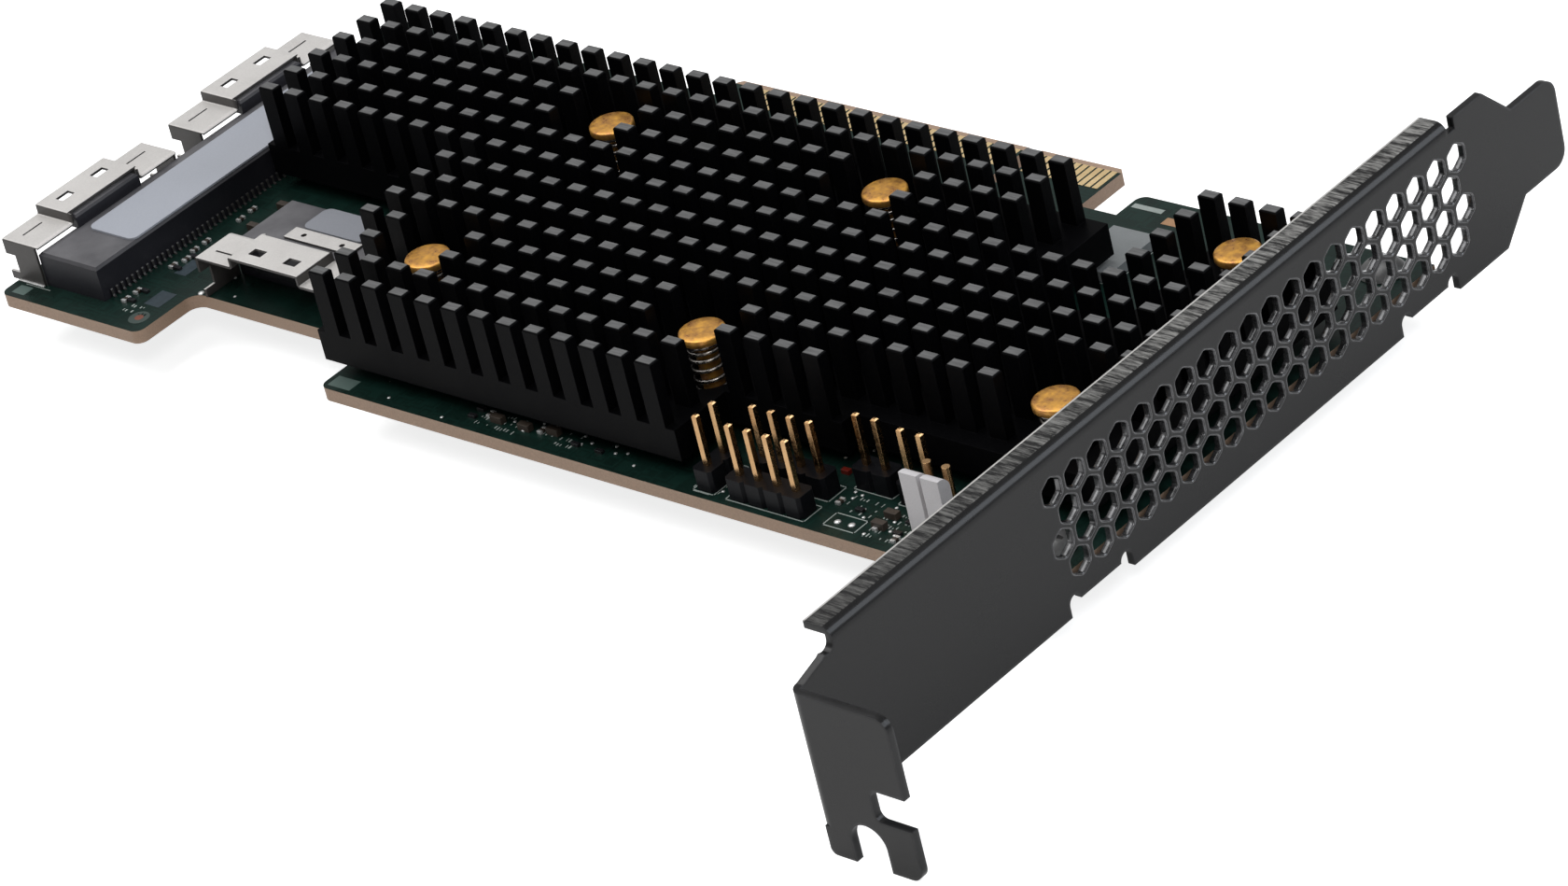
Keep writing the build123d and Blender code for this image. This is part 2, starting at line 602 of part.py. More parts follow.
# Screws through the board into the bracket's tabs
with BuildPart() as board_screws:
    with Locations(*[(SCREW_X, y, BOARD_Z) for y in SCREW_YS]):
        Cylinder(SCREW_HEAD / 2, SCREW_HEAD_HEIGHT, align=(Align.CENTER, Align.CENTER, Align.MIN))
        Cylinder(SCREW_THREAD / 2, SCREW_LENGTH, align=(Align.CENTER, Align.CENTER, Align.MAX))
finish(board_screws, "board_screws")

# Cable ports. Each port has its own frame: X across its mouth, Y from the mouth into the card.
SIDE_PORT = Plane(
    origin=(BOARD_LEFT + SIDE_PORT_FROM_END, NOTCH_INNER - SIDE_PORT_OVERHANG, BOARD_Z),
    x_dir=(1, 0, 0),
    z_dir=(0, 0, 1),
)
END_PORT_Y = RIM_Y + END_PORT_FIRST_Y + END_PORT_PITCH / 2
END_PORT = Plane(
    origin=(BOARD_LEFT - END_PORT_OVERHANG, END_PORT_Y, BOARD_Z),
    x_dir=(0, -1, 0),
    z_dir=(0, 0, 1),
)


def mouth_plane(port, depth=0):
    """The plane of a port's mouth, from which a negative extrusion runs into the card."""
    origin = port.from_local_coords((0, depth, 0))
    return Plane(origin=origin, x_dir=port.x_dir, z_dir=-port.y_dir)


def flank_plane(port, across_by):
    """A plane along a port's flank, with depth to the right and height upwards."""
    origin = port.from_local_coords((across_by, 0, 0))
    return Plane(origin=origin, x_dir=port.y_dir, z_dir=port.x_dir)


def port_shell(port, middle, name):
    """Sheet-metal hood of one port: two shoulders, a raised bridge with windows, open flanks."""
    half = PORT_WIDTH / 2
    bump = PORT_BUMP_WIDTH / 2
    skin = PORT_SHEET
    with BuildPart() as shell:
        with BuildSketch(mouth_plane(port)):
            with BuildLine():
                Polyline(
                    (middle - half, 0),
                    (middle - half, PORT_SHOULDER),
                    (middle - bump, PORT_SHOULDER),
                    (middle - bump, PORT_BUMP),
                    (middle + bump, PORT_BUMP),
                    (middle + bump, PORT_SHOULDER),
                    (middle + half, PORT_SHOULDER),
                    (middle + half, 0),
                    (middle + half - skin, 0),
                    (middle + half - skin, PORT_SHOULDER - skin),
                    (middle + bump - skin, PORT_SHOULDER - skin),
                    (middle + bump - skin, PORT_BUMP - skin),
                    (middle - bump + skin, PORT_BUMP - skin),
                    (middle - bump + skin, PORT_SHOULDER - skin),
                    (middle - half + skin, PORT_SHOULDER - skin),
                    (middle - half + skin, 0),
                    close=True,
                )
            make_face()
        extrude(amount=-PORT_SHELL_DEPTH)
        for start in (middle - half, middle + bump):
            with BuildSketch(flank_plane(port, start)):
                with BuildLine():
                    Polyline(
                        (PORT_SHELL_DEPTH, PORT_SHOULDER),
                        (PORT_SHELL_DEPTH, PORT_SHOULDER - skin),
                        (PORT_SHELL_DEPTH + PORT_STRIP_REACH, PORT_HOUSING_TOP),
                        (PORT_SHELL_DEPTH + PORT_STRIP_REACH + skin, PORT_HOUSING_TOP),
                        close=True,
                    )
                make_face()
            extrude(amount=half - bump)
        with BuildSketch(flank_plane(port, middle - half)):
            with Locations((0, PORT_SHOULDER / 2)):
                SlotOverall(2 * PORT_FLANK_CUT, PORT_SHOULDER / 2)
        extrude(amount=PORT_WIDTH, mode=Mode.SUBTRACT)
        with BuildSketch(port.offset(PORT_BUMP)):
            with Locations((middle, PORT_WINDOW_Y)):
                with GridLocations(2 * PORT_WINDOW_X, 1, 2, 1):
                    Rectangle(PORT_WINDOW_LENGTH, PORT_WINDOW_WIDTH)
        extrude(amount=-PORT_SHEET, mode=Mode.SUBTRACT)
    finish(shell, name)


def port_housing(port, middles, name):
    """Moulded body of one or two ports, with a mouth and a contact blade for each."""
    width = middles[-1] - middles[0] + PORT_WIDTH - 2 * (PORT_SHEET + PORT_SIDE_GAP)
    mouth_width = PORT_WIDTH - 2 * (PORT_SHEET + PORT_SIDE_GAP + PORT_WALL)
    with BuildPart() as housing:
        with BuildSketch(mouth_plane(port, PORT_HOUSING_SETBACK)):
            with Locations((0, PORT_HOUSING_TOP / 2)):
                Rectangle(width, PORT_HOUSING_TOP)
        extrude(amount=-(PORT_DEPTH - PORT_HOUSING_SETBACK))
        chamfer(housing.edges().group_by(Axis.Z)[-1], PORT_EDGE)
        for middle in middles:
            with BuildSketch(mouth_plane(port, PORT_HOUSING_SETBACK)):
                with Locations((middle, PORT_MOUTH_FLOOR + PORT_MOUTH_HEIGHT / 2)):
                    Rectangle(mouth_width, PORT_MOUTH_HEIGHT)
            extrude(amount=-PORT_MOUTH_DEPTH, mode=Mode.SUBTRACT)
            with BuildSketch(mouth_plane(port, PORT_HOUSING_SETBACK + PORT_MOUTH_DEPTH)):
                with Locations((middle, BLADE_HEIGHT)):
                    Rectangle(PORT_BLADE_WIDTH, PORT_BLADE)
            extrude(amount=PORT_BLADE_DEPTH)
        if len(middles) > 1:
            # Slots in the shared body for the hoods' inner flanks
            flank = (PORT_WIDTH - PORT_SHEET) / 2
            with BuildSketch(port):
                with Locations(
                    (middles[0] + flank, PORT_SHELL_DEPTH / 2),
                    (middles[-1] - flank, PORT_SHELL_DEPTH / 2),
                ):
                    Rectangle(PORT_SHEET + 2 * PORT_SIDE_GAP, PORT_SHELL_DEPTH + 2 * PORT_SIDE_GAP)
            extrude(amount=PORT_HOUSING_TOP, mode=Mode.SUBTRACT)
    finish(housing, name)


def port_cap(port, length, width, shift, name):
    """Flat pick-up cap on a port's housing."""
    with BuildPart() as cap:
        with BuildSketch(port.offset(PORT_HOUSING_TOP)):
            with Locations((shift, PORT_DEPTH - CAP_SETBACK - width / 2)):
                RectangleRounded(length, width, CAP_CORNER)
        extrude(amount=CAP_THICKNESS)
    finish(cap, name)


BLADE_HEIGHT = PORT_MOUTH_FLOOR + PORT_MOUTH_HEIGHT / 2
END_MIDDLES = [-END_PORT_PITCH / 2, END_PORT_PITCH / 2]
port_shell(SIDE_PORT, 0, "side_port_shell")
port_housing(SIDE_PORT, [0], "side_port_housing")
port_cap(SIDE_PORT, SIDE_CAP_LENGTH, SIDE_CAP_WIDTH, 0, "side_port_cap")
port_shell(END_PORT, END_MIDDLES[1], "end_port_shell_near")
port_shell(END_PORT, END_MIDDLES[0], "end_port_shell_far")
port_housing(END_PORT, END_MIDDLES, "end_port_housing")
port_cap(END_PORT, END_CAP_LENGTH, END_CAP_WIDTH, -END_CAP_SHIFT, "end_port_cap")

with BuildPart() as side_port_clip:
    with BuildSketch(SIDE_PORT.offset(PORT_HOUSING_TOP)):
        with Locations((0, PORT_DEPTH - CAP_SETBACK - SIDE_CAP_WIDTH - CLIP_GAP - CLIP_WIDTH / 2)):
            Rectangle(CLIP_LENGTH, CLIP_WIDTH)
            with GridLocations(CLIP_HOLE_SPACING, 1, 2, 1):
                RegularPolygon(CLIP_HOLE / 2, DRILL_SIDES, mode=Mode.SUBTRACT)
    extrude(amount=PORT_SHEET)
finish(side_port_clip, "side_port_clip")



def pin_header(name, from_face, from_rim, along, over):
    """Moulded base of a pin header, with grooves between its cells and a square hole for each pin."""
    length = along * HEADER_PITCH
    depth = over * HEADER_PITCH
    with BuildPart() as base:
        with BuildSketch(level(BOARD_Z)):
            with Locations((FACE_X - from_face, RIM_Y + from_rim)):
                Rectangle(length, depth)
                with GridLocations(HEADER_PITCH, depth, along + 1, 2):
                    Rectangle(HEADER_GROOVE, HEADER_GROOVE, rotation=45, mode=Mode.SUBTRACT)
                with GridLocations(length, HEADER_PITCH, 2, over + 1):
                    Rectangle(HEADER_GROOVE, HEADER_GROOVE, rotation=45, mode=Mode.SUBTRACT)
                with GridLocations(HEADER_PITCH, HEADER_PITCH, along, over):
                    Rectangle(HEADER_PIN, HEADER_PIN, mode=Mode.SUBTRACT)
        extrude(amount=HEADER_BASE)
    finish(base, name)


for header in HEADERS:
    pin_header(*header)

with BuildPart() as header_pins:
    with BuildSketch(level(BOARD_UNDER - HEADER_PIN_TAIL)):
        with Locations(*HEADER_PIN_PLACES):
            Rectangle(HEADER_PIN, HEADER_PIN)
    extrude(amount=HEADER_PIN_TAIL + BOARD_THICKNESS + HEADER_PIN_TOP)
    chamfer(header_pins.edges().group_by(Axis.Z)[-1], HEADER_PIN / 4)
finish(header_pins, "header_pins")

# White wafer: a low base with an upright slit wall and two round pins
with BuildPart() as wafer:
    side_plane = Plane(origin=(WAFER_MIDDLE - WAFER_LENGTH / 2, 0, BOARD_Z), x_dir=(0, 1, 0), z_dir=(1, 0, 0))
    with BuildSketch(side_plane):
        with BuildLine():
            Polyline(
                (WAFER_FRONT, 0),
                (WAFER_FRONT, WAFER_TOP),
                (WAFER_FRONT + WAFER_WALL, WAFER_TOP),
                (WAFER_FRONT + WAFER_WALL, WAFER_BASE),
                (WAFER_FRONT + WAFER_DEPTH, WAFER_BASE),
                (WAFER_FRONT + WAFER_DEPTH, 0),
                close=True,
            )
        upright = make_face()
        fillet(nearest(upright, WAFER_FRONT + WAFER_WALL, WAFER_TOP), WAFER_CURVE)
    extrude(amount=WAFER_LENGTH)
    with BuildSketch(level(BOARD_Z + WAFER_BASE)):
        with Locations((WAFER_MIDDLE, WAFER_FRONT + WAFER_WALL / 2)):
            Rectangle(WAFER_SLIT, WAFER_WALL)
    extrude(amount=WAFER_TOP - WAFER_BASE, mode=Mode.SUBTRACT)
    with Locations(*[(x, y, BOARD_Z + WAFER_BASE) for x, y in WAFER_PIN_PLACES]):
        Hole(WAFER_PIN / 2, depth=WAFER_BASE)
finish(wafer, "wafer")

with BuildPart() as wafer_pins:
    with BuildSketch(level(BOARD_UNDER - HEADER_PIN_TAIL)):
        with Locations(*WAFER_PIN_PLACES):
            Circle(WAFER_PIN / 2)
    extrude(amount=HEADER_PIN_TAIL + BOARD_THICKNESS + WAFER_PIN_TOP)
finish(wafer_pins, "wafer_pins")


def small_parts(name, places, end_places, length, width, height):
    """Equal blocks soldered to the board, placed from the bracket or from the board's end."""
    middles = [(FACE_X - from_face, RIM_Y + from_rim) for from_face, from_rim in places]
    middles += [(BOARD_LEFT + from_end, RIM_Y + from_rim) for from_end, from_rim in end_places]
    with BuildPart() as group:
        with BuildSketch(level(BOARD_Z)):
            with Locations(*middles):
                Rectangle(length, width)
        extrude(amount=height)
    finish(group, name)


small_parts(
    "capacitors", CAPACITOR_PLACES, END_CAPACITOR_PLACES, CAPACITOR_LENGTH, CAPACITOR_WIDTH, CAPACITOR_HEIGHT
)
small_parts(
    "resistors", RESISTOR_PLACES, END_RESISTOR_PLACES, RESISTOR_LENGTH, RESISTOR_WIDTH, RESISTOR_HEIGHT
)
small_parts("regulator_chip", [REGULATOR_AT], [], REGULATOR_X, REGULATOR_Y, REGULATOR_HEIGHT)
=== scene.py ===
import logging
from dataclasses import dataclass, field
from enum import Enum

import bpy
import numpy as np
from mathutils import Matrix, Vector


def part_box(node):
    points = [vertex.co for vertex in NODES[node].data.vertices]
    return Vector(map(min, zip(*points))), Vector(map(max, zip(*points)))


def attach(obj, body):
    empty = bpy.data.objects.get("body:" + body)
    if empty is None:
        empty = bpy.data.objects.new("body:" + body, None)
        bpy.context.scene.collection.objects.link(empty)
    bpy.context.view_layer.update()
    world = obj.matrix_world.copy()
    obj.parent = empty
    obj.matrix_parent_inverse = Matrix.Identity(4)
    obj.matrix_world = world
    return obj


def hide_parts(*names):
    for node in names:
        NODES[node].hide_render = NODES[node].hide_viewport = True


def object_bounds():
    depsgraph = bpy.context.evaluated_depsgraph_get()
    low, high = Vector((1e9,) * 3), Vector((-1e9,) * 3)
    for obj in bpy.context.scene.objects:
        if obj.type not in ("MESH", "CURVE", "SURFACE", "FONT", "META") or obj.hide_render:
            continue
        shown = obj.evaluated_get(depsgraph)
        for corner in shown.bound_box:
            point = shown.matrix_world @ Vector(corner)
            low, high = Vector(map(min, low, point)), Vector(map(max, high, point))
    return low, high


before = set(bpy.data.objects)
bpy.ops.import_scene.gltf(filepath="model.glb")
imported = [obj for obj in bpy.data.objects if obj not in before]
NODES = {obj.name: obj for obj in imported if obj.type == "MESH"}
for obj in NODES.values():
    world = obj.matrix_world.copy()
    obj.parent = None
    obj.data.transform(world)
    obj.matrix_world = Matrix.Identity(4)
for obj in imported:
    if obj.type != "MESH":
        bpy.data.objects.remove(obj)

LOG = logging.getLogger("adapter")
CAD_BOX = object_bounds()
MM = 0.001
MADE: dict[str, bpy.types.Material] = {}

Socket = bpy.types.NodeSocket
Node = bpy.types.Node
Pair = tuple[float, float]
Triple = tuple[float, float, float]
Box = tuple[float, float, float, float]
Layer = tuple[Socket, object]  # a mask, and the colour or socket that it shows

SQUARE = np.array([[-1.0, -1.0], [1.0, -1.0], [1.0, 1.0], [-1.0, 1.0]])

FLANGE_DEPTH = 11.2
RETURN_DEPTH = 3.4
ROLL_DEPTH = 0.9  # how far the strip on the return stays from the outer face
BEVEL_LENGTH = 1.1  # bare laminate at the end of the edge connector
TIP = 0.18  # height of a fin's chamfered tip

# The outer face, the flange's outer face and the levels that places are measured from, in millimetres
FACE_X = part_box("bracket")[1].x / MM - FLANGE_DEPTH
RIM_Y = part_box("bracket")[0].y / MM
BOARD_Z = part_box("board")[1].z / MM
TOP_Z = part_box("bracket")[1].z / MM
FIN_TOP_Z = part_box("heat_sink")[1].z / MM

# How every finish mixes its tones, marks its edges with wear and a painted highlight, and stands out
SECOND_SHADE = 0.72
SPECK_GAIN = 1.25
SPECK_LIFT = 0.004
SPECK_SHARE = 0.45
FINE_SHARE = 0.6
EDGE_GAIN = 4.0
# Where the broad grain lets edges lighten: patches of wear and a painted highlight
WORN_AND_LIT_EDGE_RAMP = (0.2, 0.9)
BUMP_HEIGHT = 0.00005
COAT_ROUGHNESS = 0.12


def on_card(places: object, height: float = 0.0) -> np.ndarray:
    """Points in millimetres, given as the card is measured.

    Args:
        places: one or more pairs of distances, inwards from the bracket's outer face and from the flange's.
        height: height over the board's component side.

    Returns:
        The points in the row frame.
    """
    flat = np.atleast_2d(places)
    return np.column_stack([FACE_X - flat[:, 0], RIM_Y + flat[:, 1], np.full(len(flat), BOARD_Z + height)])


class Pattern(Enum):
    """The way a finish varies over its surface."""

    EVEN = "even"
    BRUSHED = "brushed along x"
    CAST = "cast"


STRETCH = {
    Pattern.EVEN: (1.0, 1.0, 1.0),
    Pattern.BRUSHED: (0.04, 1.0, 1.0),
    Pattern.CAST: (1.0, 1.0, 0.35),
}


class Graph:
    """A node tree with short calls for adding and joining nodes."""

    def __init__(self, tree: bpy.types.NodeTree) -> None:
        """Keep the tree that the nodes go into."""
        self.tree = tree

    def join(self, source: Socket, target: Socket) -> None:
        """Link two sockets."""
        self.tree.links.new(source, target)

    def feed(self, target: Socket, value: object) -> None:
        """Give an input its value.

        Args:
            target: the input.
            value: a socket that it is linked to, a number, a vector, or a colour of three parts.
        """
        if isinstance(value, Socket):
            self.join(value, target)
        else:
            target.default_value = (*value, 1.0) if target.type == "RGBA" else value

    def add(self, kind: str, *first: object, **values: object) -> Node:
        """Add a node.

        Args:
            kind: the node's type name without its ShaderNode prefix.
            first: what its first inputs are fed with, in their order.
            values: attributes of the node, or what an input is fed with where a name starts with in_.

        Returns:
            The new node.
        """
        node = self.tree.nodes.new(kind if kind.startswith("Node") else "ShaderNode" + kind)
        for key, value in values.items():
            if key.startswith("in_"):
                self.feed(node.inputs[key[3:].replace("_", " ")], value)
            else:
                setattr(node, key, value)
        for target, value in zip(node.inputs, first):
            self.feed(target, value)
        return node

    def maths(self, operation: str, first: object, second: object = 0.5, clamp: bool = False) -> Socket:
        """The result of a math node whose inputs are sockets or numbers."""
        return self.add("Math", first, second, operation=operation, use_clamp=clamp).outputs[0]

    def times(self, first: object, second: object) -> Socket:
        """The product of two sockets or numbers."""
        return self.maths("MULTIPLY", first, second)

    def mix(self, mask: object, low: object, high: object) -> Socket:
        """Mix two colours.

        Args:
            mask: a socket or a number from 0 to 1.
            low: the colour, or socket, where the mask is 0.
            high: the colour, or socket, where the mask is 1.

        Returns:
            The mixed colour's socket.
        """
        node = self.add("Mix", data_type="RGBA")
        for index, value in ((0, mask), (6, low), (7, high)):
            self.feed(node.inputs[index], value)
        return node.outputs[2]

    def between(self, value: Socket, low: float, high: float) -> Socket:
        """A mask that rises from 0 to 1 while a value goes from low to high."""
        return self.add("MapRange", value, low, high, clamp=True).outputs["Result"]

    def inside(self, value: Socket, low: float, high: float) -> Socket:
        """A mask that is 1 where a value lies between two bounds."""
        above = self.maths("GREATER_THAN", value, low)
        return self.times(above, self.maths("LESS_THAN", value, high))

    def place(self) -> Socket:
        """The Object coordinates."""
        return self.add("TexCoord").outputs["Object"]

    def stretched(self, factors: object) -> Socket:
        """Object coordinates times one factor for each part, given as a vector or a socket."""
        return self.add("VectorMath", self.place(), factors, operation="MULTIPLY").outputs[0]

    def noise(self, vector: Socket, **values: object) -> Socket:
        """The value of a noise texture at a vector; its other inputs are fed as in add."""
        return self.add("TexNoise", in_Vector=vector, **values).outputs["Fac"]

    def parts(self, vector: Socket) -> bpy.types.bpy_prop_collection:
        """The X, Y and Z sockets of a vector."""
        return self.add("SeparateXYZ", vector).outputs

    def facing(self) -> bpy.types.bpy_prop_collection:
        """The X, Y and Z sockets of the surface's own normal."""
        return self.parts(self.add("NewGeometry").outputs["Normal"])


def new_group(name: str, inputs: dict[str, float | tuple],
              outputs: dict[str, str]) -> tuple[Graph, Node, Node]:
    """Start a shader node group.

    Args:
        name: the group's name.
        inputs: names and default values of its inputs.
        outputs: names and socket types of its outputs.

    Returns:
        The group's graph, its input node and its output node.
    """
    tree = bpy.data.node_groups.new(name, "ShaderNodeTree")
    for key, value in inputs.items():
        kind = "NodeSocketVector" if isinstance(value, tuple) else "NodeSocketFloat"
        socket = tree.interface.new_socket(name=key, in_out="INPUT", socket_type=kind)
        socket.default_value = value
    for key, kind in outputs.items():
        tree.interface.new_socket(name=key, in_out="OUTPUT", socket_type=kind)
    graph = Graph(tree)
    return graph, graph.add("NodeGroupInput"), graph.add("NodeGroupOutput")


def grain_group() -> bpy.types.NodeTree:
    """Fine and broad noise on Object coordinates, stretched along the work's direction.

    Returns:
        The group, with Fine and Broad values from 0 to 1.
    """
    graph, inside, out = new_group(
        "grain",
        {"Fine Scale": 6000.0, "Broad Scale": 150.0, "Fine Spread": 0.25, "Broad Spread": 0.25,
         "Stretch": (1.0, 1.0, 1.0)},
        {"Fine": "NodeSocketFloat", "Broad": "NodeSocketFloat"},
    )
    vector = graph.stretched(inside.outputs["Stretch"])
    for key, detail in (("Fine", 4.0), ("Broad", 3.0)):
        noise = graph.noise(vector, in_Scale=inside.outputs[key + " Scale"], in_Detail=detail,
                            in_Roughness=0.62)
        wide = graph.times(inside.outputs[key + " Spread"], 2.0)
        tilt = graph.maths("DIVIDE", graph.maths("SUBTRACT", noise, 0.5), wide)
        graph.join(graph.maths("ADD", tilt, 0.5, clamp=True), out.inputs[key])
    return graph.tree


def edge_group() -> bpy.types.NodeTree:
    """Rounds sharp edges in the shading and marks them.

    Returns:
        The group: the rounded Normal, and an Edge mask that rises as it turns from the surface's normal.
    """
    graph, inside, out = new_group(
        "edge", {"Radius": 0.0001}, {"Normal": "NodeSocketVector", "Edge": "NodeSocketFloat"})
    rounded = graph.add("Bevel", samples=4, in_Radius=inside.outputs["Radius"]).outputs["Normal"]
    true = graph.add("NewGeometry").outputs["Normal"]
    cosine = graph.add("VectorMath", rounded, true, operation="DOT_PRODUCT").outputs["Value"]
    away = graph.maths("SUBTRACT", 1.0, cosine)
    graph.join(rounded, out.inputs["Normal"])
    graph.join(graph.maths("MULTIPLY", away, EDGE_GAIN, clamp=True), out.inputs["Edge"])
    return graph.tree


@dataclass(frozen=True)
class Finish:
    """One surface finish: a base colour with grain, mottling, softened edges, and rubbed edges with a painted
    highlight.
    """

    name: str
    colour: Triple
    roughness: float = 0.5
    metallic: float = 0.0
    pattern: Pattern = Pattern.EVEN
    second: Triple | None = None
    fine: float = 6000.0
    broad: float = 180.0
    contrast: float = 0.25
    rough_spread: float = 0.12
    bump: float = 0.12
    edge_radius: float = 0.00008
    # A lighter colour along edges: partly rubbed wear, partly a painted highlight
    edge_wear_and_highlight: Triple | None = None
    coat: float = 0.0
    specular: float = 0.5

    def colour_socket(self, graph: Graph, grain: Node, edge: Node) -> Socket:
        """The colour: the two tones mixed by the grain, the rubbed edges with their painted highlight, and
        the finish's own layers.

        Args:
            graph: the material's graph.
            grain: the placed grain group.
            edge: the placed edge group.

        Returns:
            The colour's socket.
        """
        second = self.second or tuple(SECOND_SHADE * c for c in self.colour)
        tone = graph.mix(grain.outputs["Broad"], second, self.colour)
        speck = tuple(min(1.0, SPECK_GAIN * c + SPECK_LIFT) for c in self.colour)
        tone = graph.mix(graph.times(grain.outputs["Fine"], SPECK_SHARE), tone, speck)
        # Edges lightened in patches: partly rubbed wear, partly a painted highlight
        if self.edge_wear_and_highlight is not None:
            patchy = graph.between(grain.outputs["Broad"], *WORN_AND_LIT_EDGE_RAMP)
            tone = graph.mix(graph.times(edge.outputs["Edge"], patchy), tone, self.edge_wear_and_highlight)
        for mask, colour in self.layers(graph, grain):
            tone = graph.mix(mask, tone, colour)
        return tone

    def layers(self, graph: Graph, grain: Node) -> list[Layer]:
        """What this kind of finish lays over its base colour, the lowest first: nothing here."""
        return []

    def roughness_socket(self, graph: Graph, grain: Node) -> Socket:
        """The roughness: its mean, give or take the spread times the grain's mix.

        Args:
            graph: the material's graph.
            grain: the placed grain group.

        Returns:
            The roughness's socket.
        """
        wave = graph.maths("ADD", graph.times(grain.outputs["Fine"], FINE_SHARE),
                           graph.times(grain.outputs["Broad"], 1.0 - FINE_SHARE))
        swing = graph.times(graph.maths("SUBTRACT", wave, 0.5), 2.0 * self.rough_spread)
        return graph.maths("ADD", swing, self.roughness, clamp=True)

    def material(self) -> bpy.types.Material:
        """The material of this finish, made on first use.

        Returns:
            The material.
        """
        if self.name in MADE:
            return MADE[self.name]
        made = MADE[self.name] = bpy.data.materials.new(self.name)
        made.use_nodes = True
        made.diffuse_color = (*self.colour, 1.0)
        graph = Graph(made.node_tree)
        graph.tree.nodes.clear()
        grain = graph.add("Group", node_tree=GROUPS["grain"], in_Stretch=STRETCH[self.pattern],
                          in_Fine_Scale=self.fine, in_Broad_Scale=self.broad, in_Broad_Spread=self.contrast)
        edge = graph.add("Group", node_tree=GROUPS["edge"], in_Radius=self.edge_radius)
        bump = graph.add("Bump", in_Strength=self.bump, in_Distance=BUMP_HEIGHT,
                         in_Height=grain.outputs["Fine"], in_Normal=edge.outputs["Normal"])
        shader = graph.add(
            "BsdfPrincipled", in_Base_Color=self.colour_socket(graph, grain, edge), in_Metallic=self.metallic,
            in_Roughness=self.roughness_socket(graph, grain), in_Normal=bump.outputs["Normal"],
            in_Specular_IOR_Level=self.specular, in_Coat_Weight=self.coat, in_Coat_Roughness=COAT_ROUGHNESS)
        graph.add("OutputMaterial", in_Surface=shader.outputs[0])
        return made


@dataclass(frozen=True)
class PlatedSheet(Finish):
    """Bright plated sheet whose upright walls carry a painted shade."""

    # wall: the painted shade of upright faces, darker than the lit tops
    wall: Triple = (0.07, 0.065, 0.062)
    painted_shade_ramp: Pair = (0.85, 0.55)

    def layers(self, graph: Graph, grain: Node) -> list[Layer]:
        """A painted shade where a face stands upright."""
        # Painted shade on faces that stand upright
        upright = graph.between(graph.maths("ABSOLUTE", graph.facing()["Z"]), *self.painted_shade_ramp)
        return [(upright, self.wall)]


@dataclass(frozen=True)
class FoldedPaint(Finish):
    """Black paint on the bracket, with the rough milled strip on the return's top, brightened by a painted
    reflection, and a painted highlight on the strip's free edge.
    """

    strip_low: float = 0.0
    strip_left: float = 0.0
    strip_right: float = 0.0
    # The ridges fade in along Y: a painted change of reflected light along the strip
    strip_light_fade: Pair = (-0.025, 0.07)
    # The ridges' pale colour: partly milled metal, partly a painted reflection
    strip_colour: Triple = (0.33, 0.325, 0.31)
    ridge_stretch: Triple = (0.12, 1.0, 1.0)
    ridge_scale: float = 2300.0
    ridge_ramp: Pair = (0.44, 0.62)
    # A painted highlight along the strip's free edge
    free_edge_highlight: Triple = (0.75, 0.73, 0.7)
    free_edge_highlight_width: float = 0.00022
    free_edge_highlight_share: float = 0.85

    def layers(self, graph: Graph, grain: Node) -> list[Layer]:
        """The return's flat top: pale ridges that run across it, partly milled metal and partly a painted
        reflection that fades along Y, and a painted highlight on its free edge.

        Args:
            graph: the material's graph.
            grain: not used.

        Returns:
            The layers.
        """
        place = graph.parts(graph.place())
        noise = graph.noise(graph.stretched(self.ridge_stretch), in_Scale=self.ridge_scale, in_Detail=6.0,
                            in_Roughness=0.75)
        # Pale ridges, partly milled metal and partly a painted reflection that fades along Y
        ridges = graph.times(graph.between(noise, *self.ridge_ramp),
                             graph.between(place["Y"], *self.strip_light_fade))
        high = graph.maths("GREATER_THAN", place["Z"], self.strip_low)
        flat = graph.times(high, graph.inside(place["X"], self.strip_left, self.strip_right))
        # A painted highlight along the free edge
        free = graph.times(high, graph.maths("LESS_THAN", place["X"], self.strip_left + self.free_edge_highlight_width))
        return [(graph.times(flat, ridges), self.strip_colour),
                (graph.times(free, self.free_edge_highlight_share), self.free_edge_highlight)]


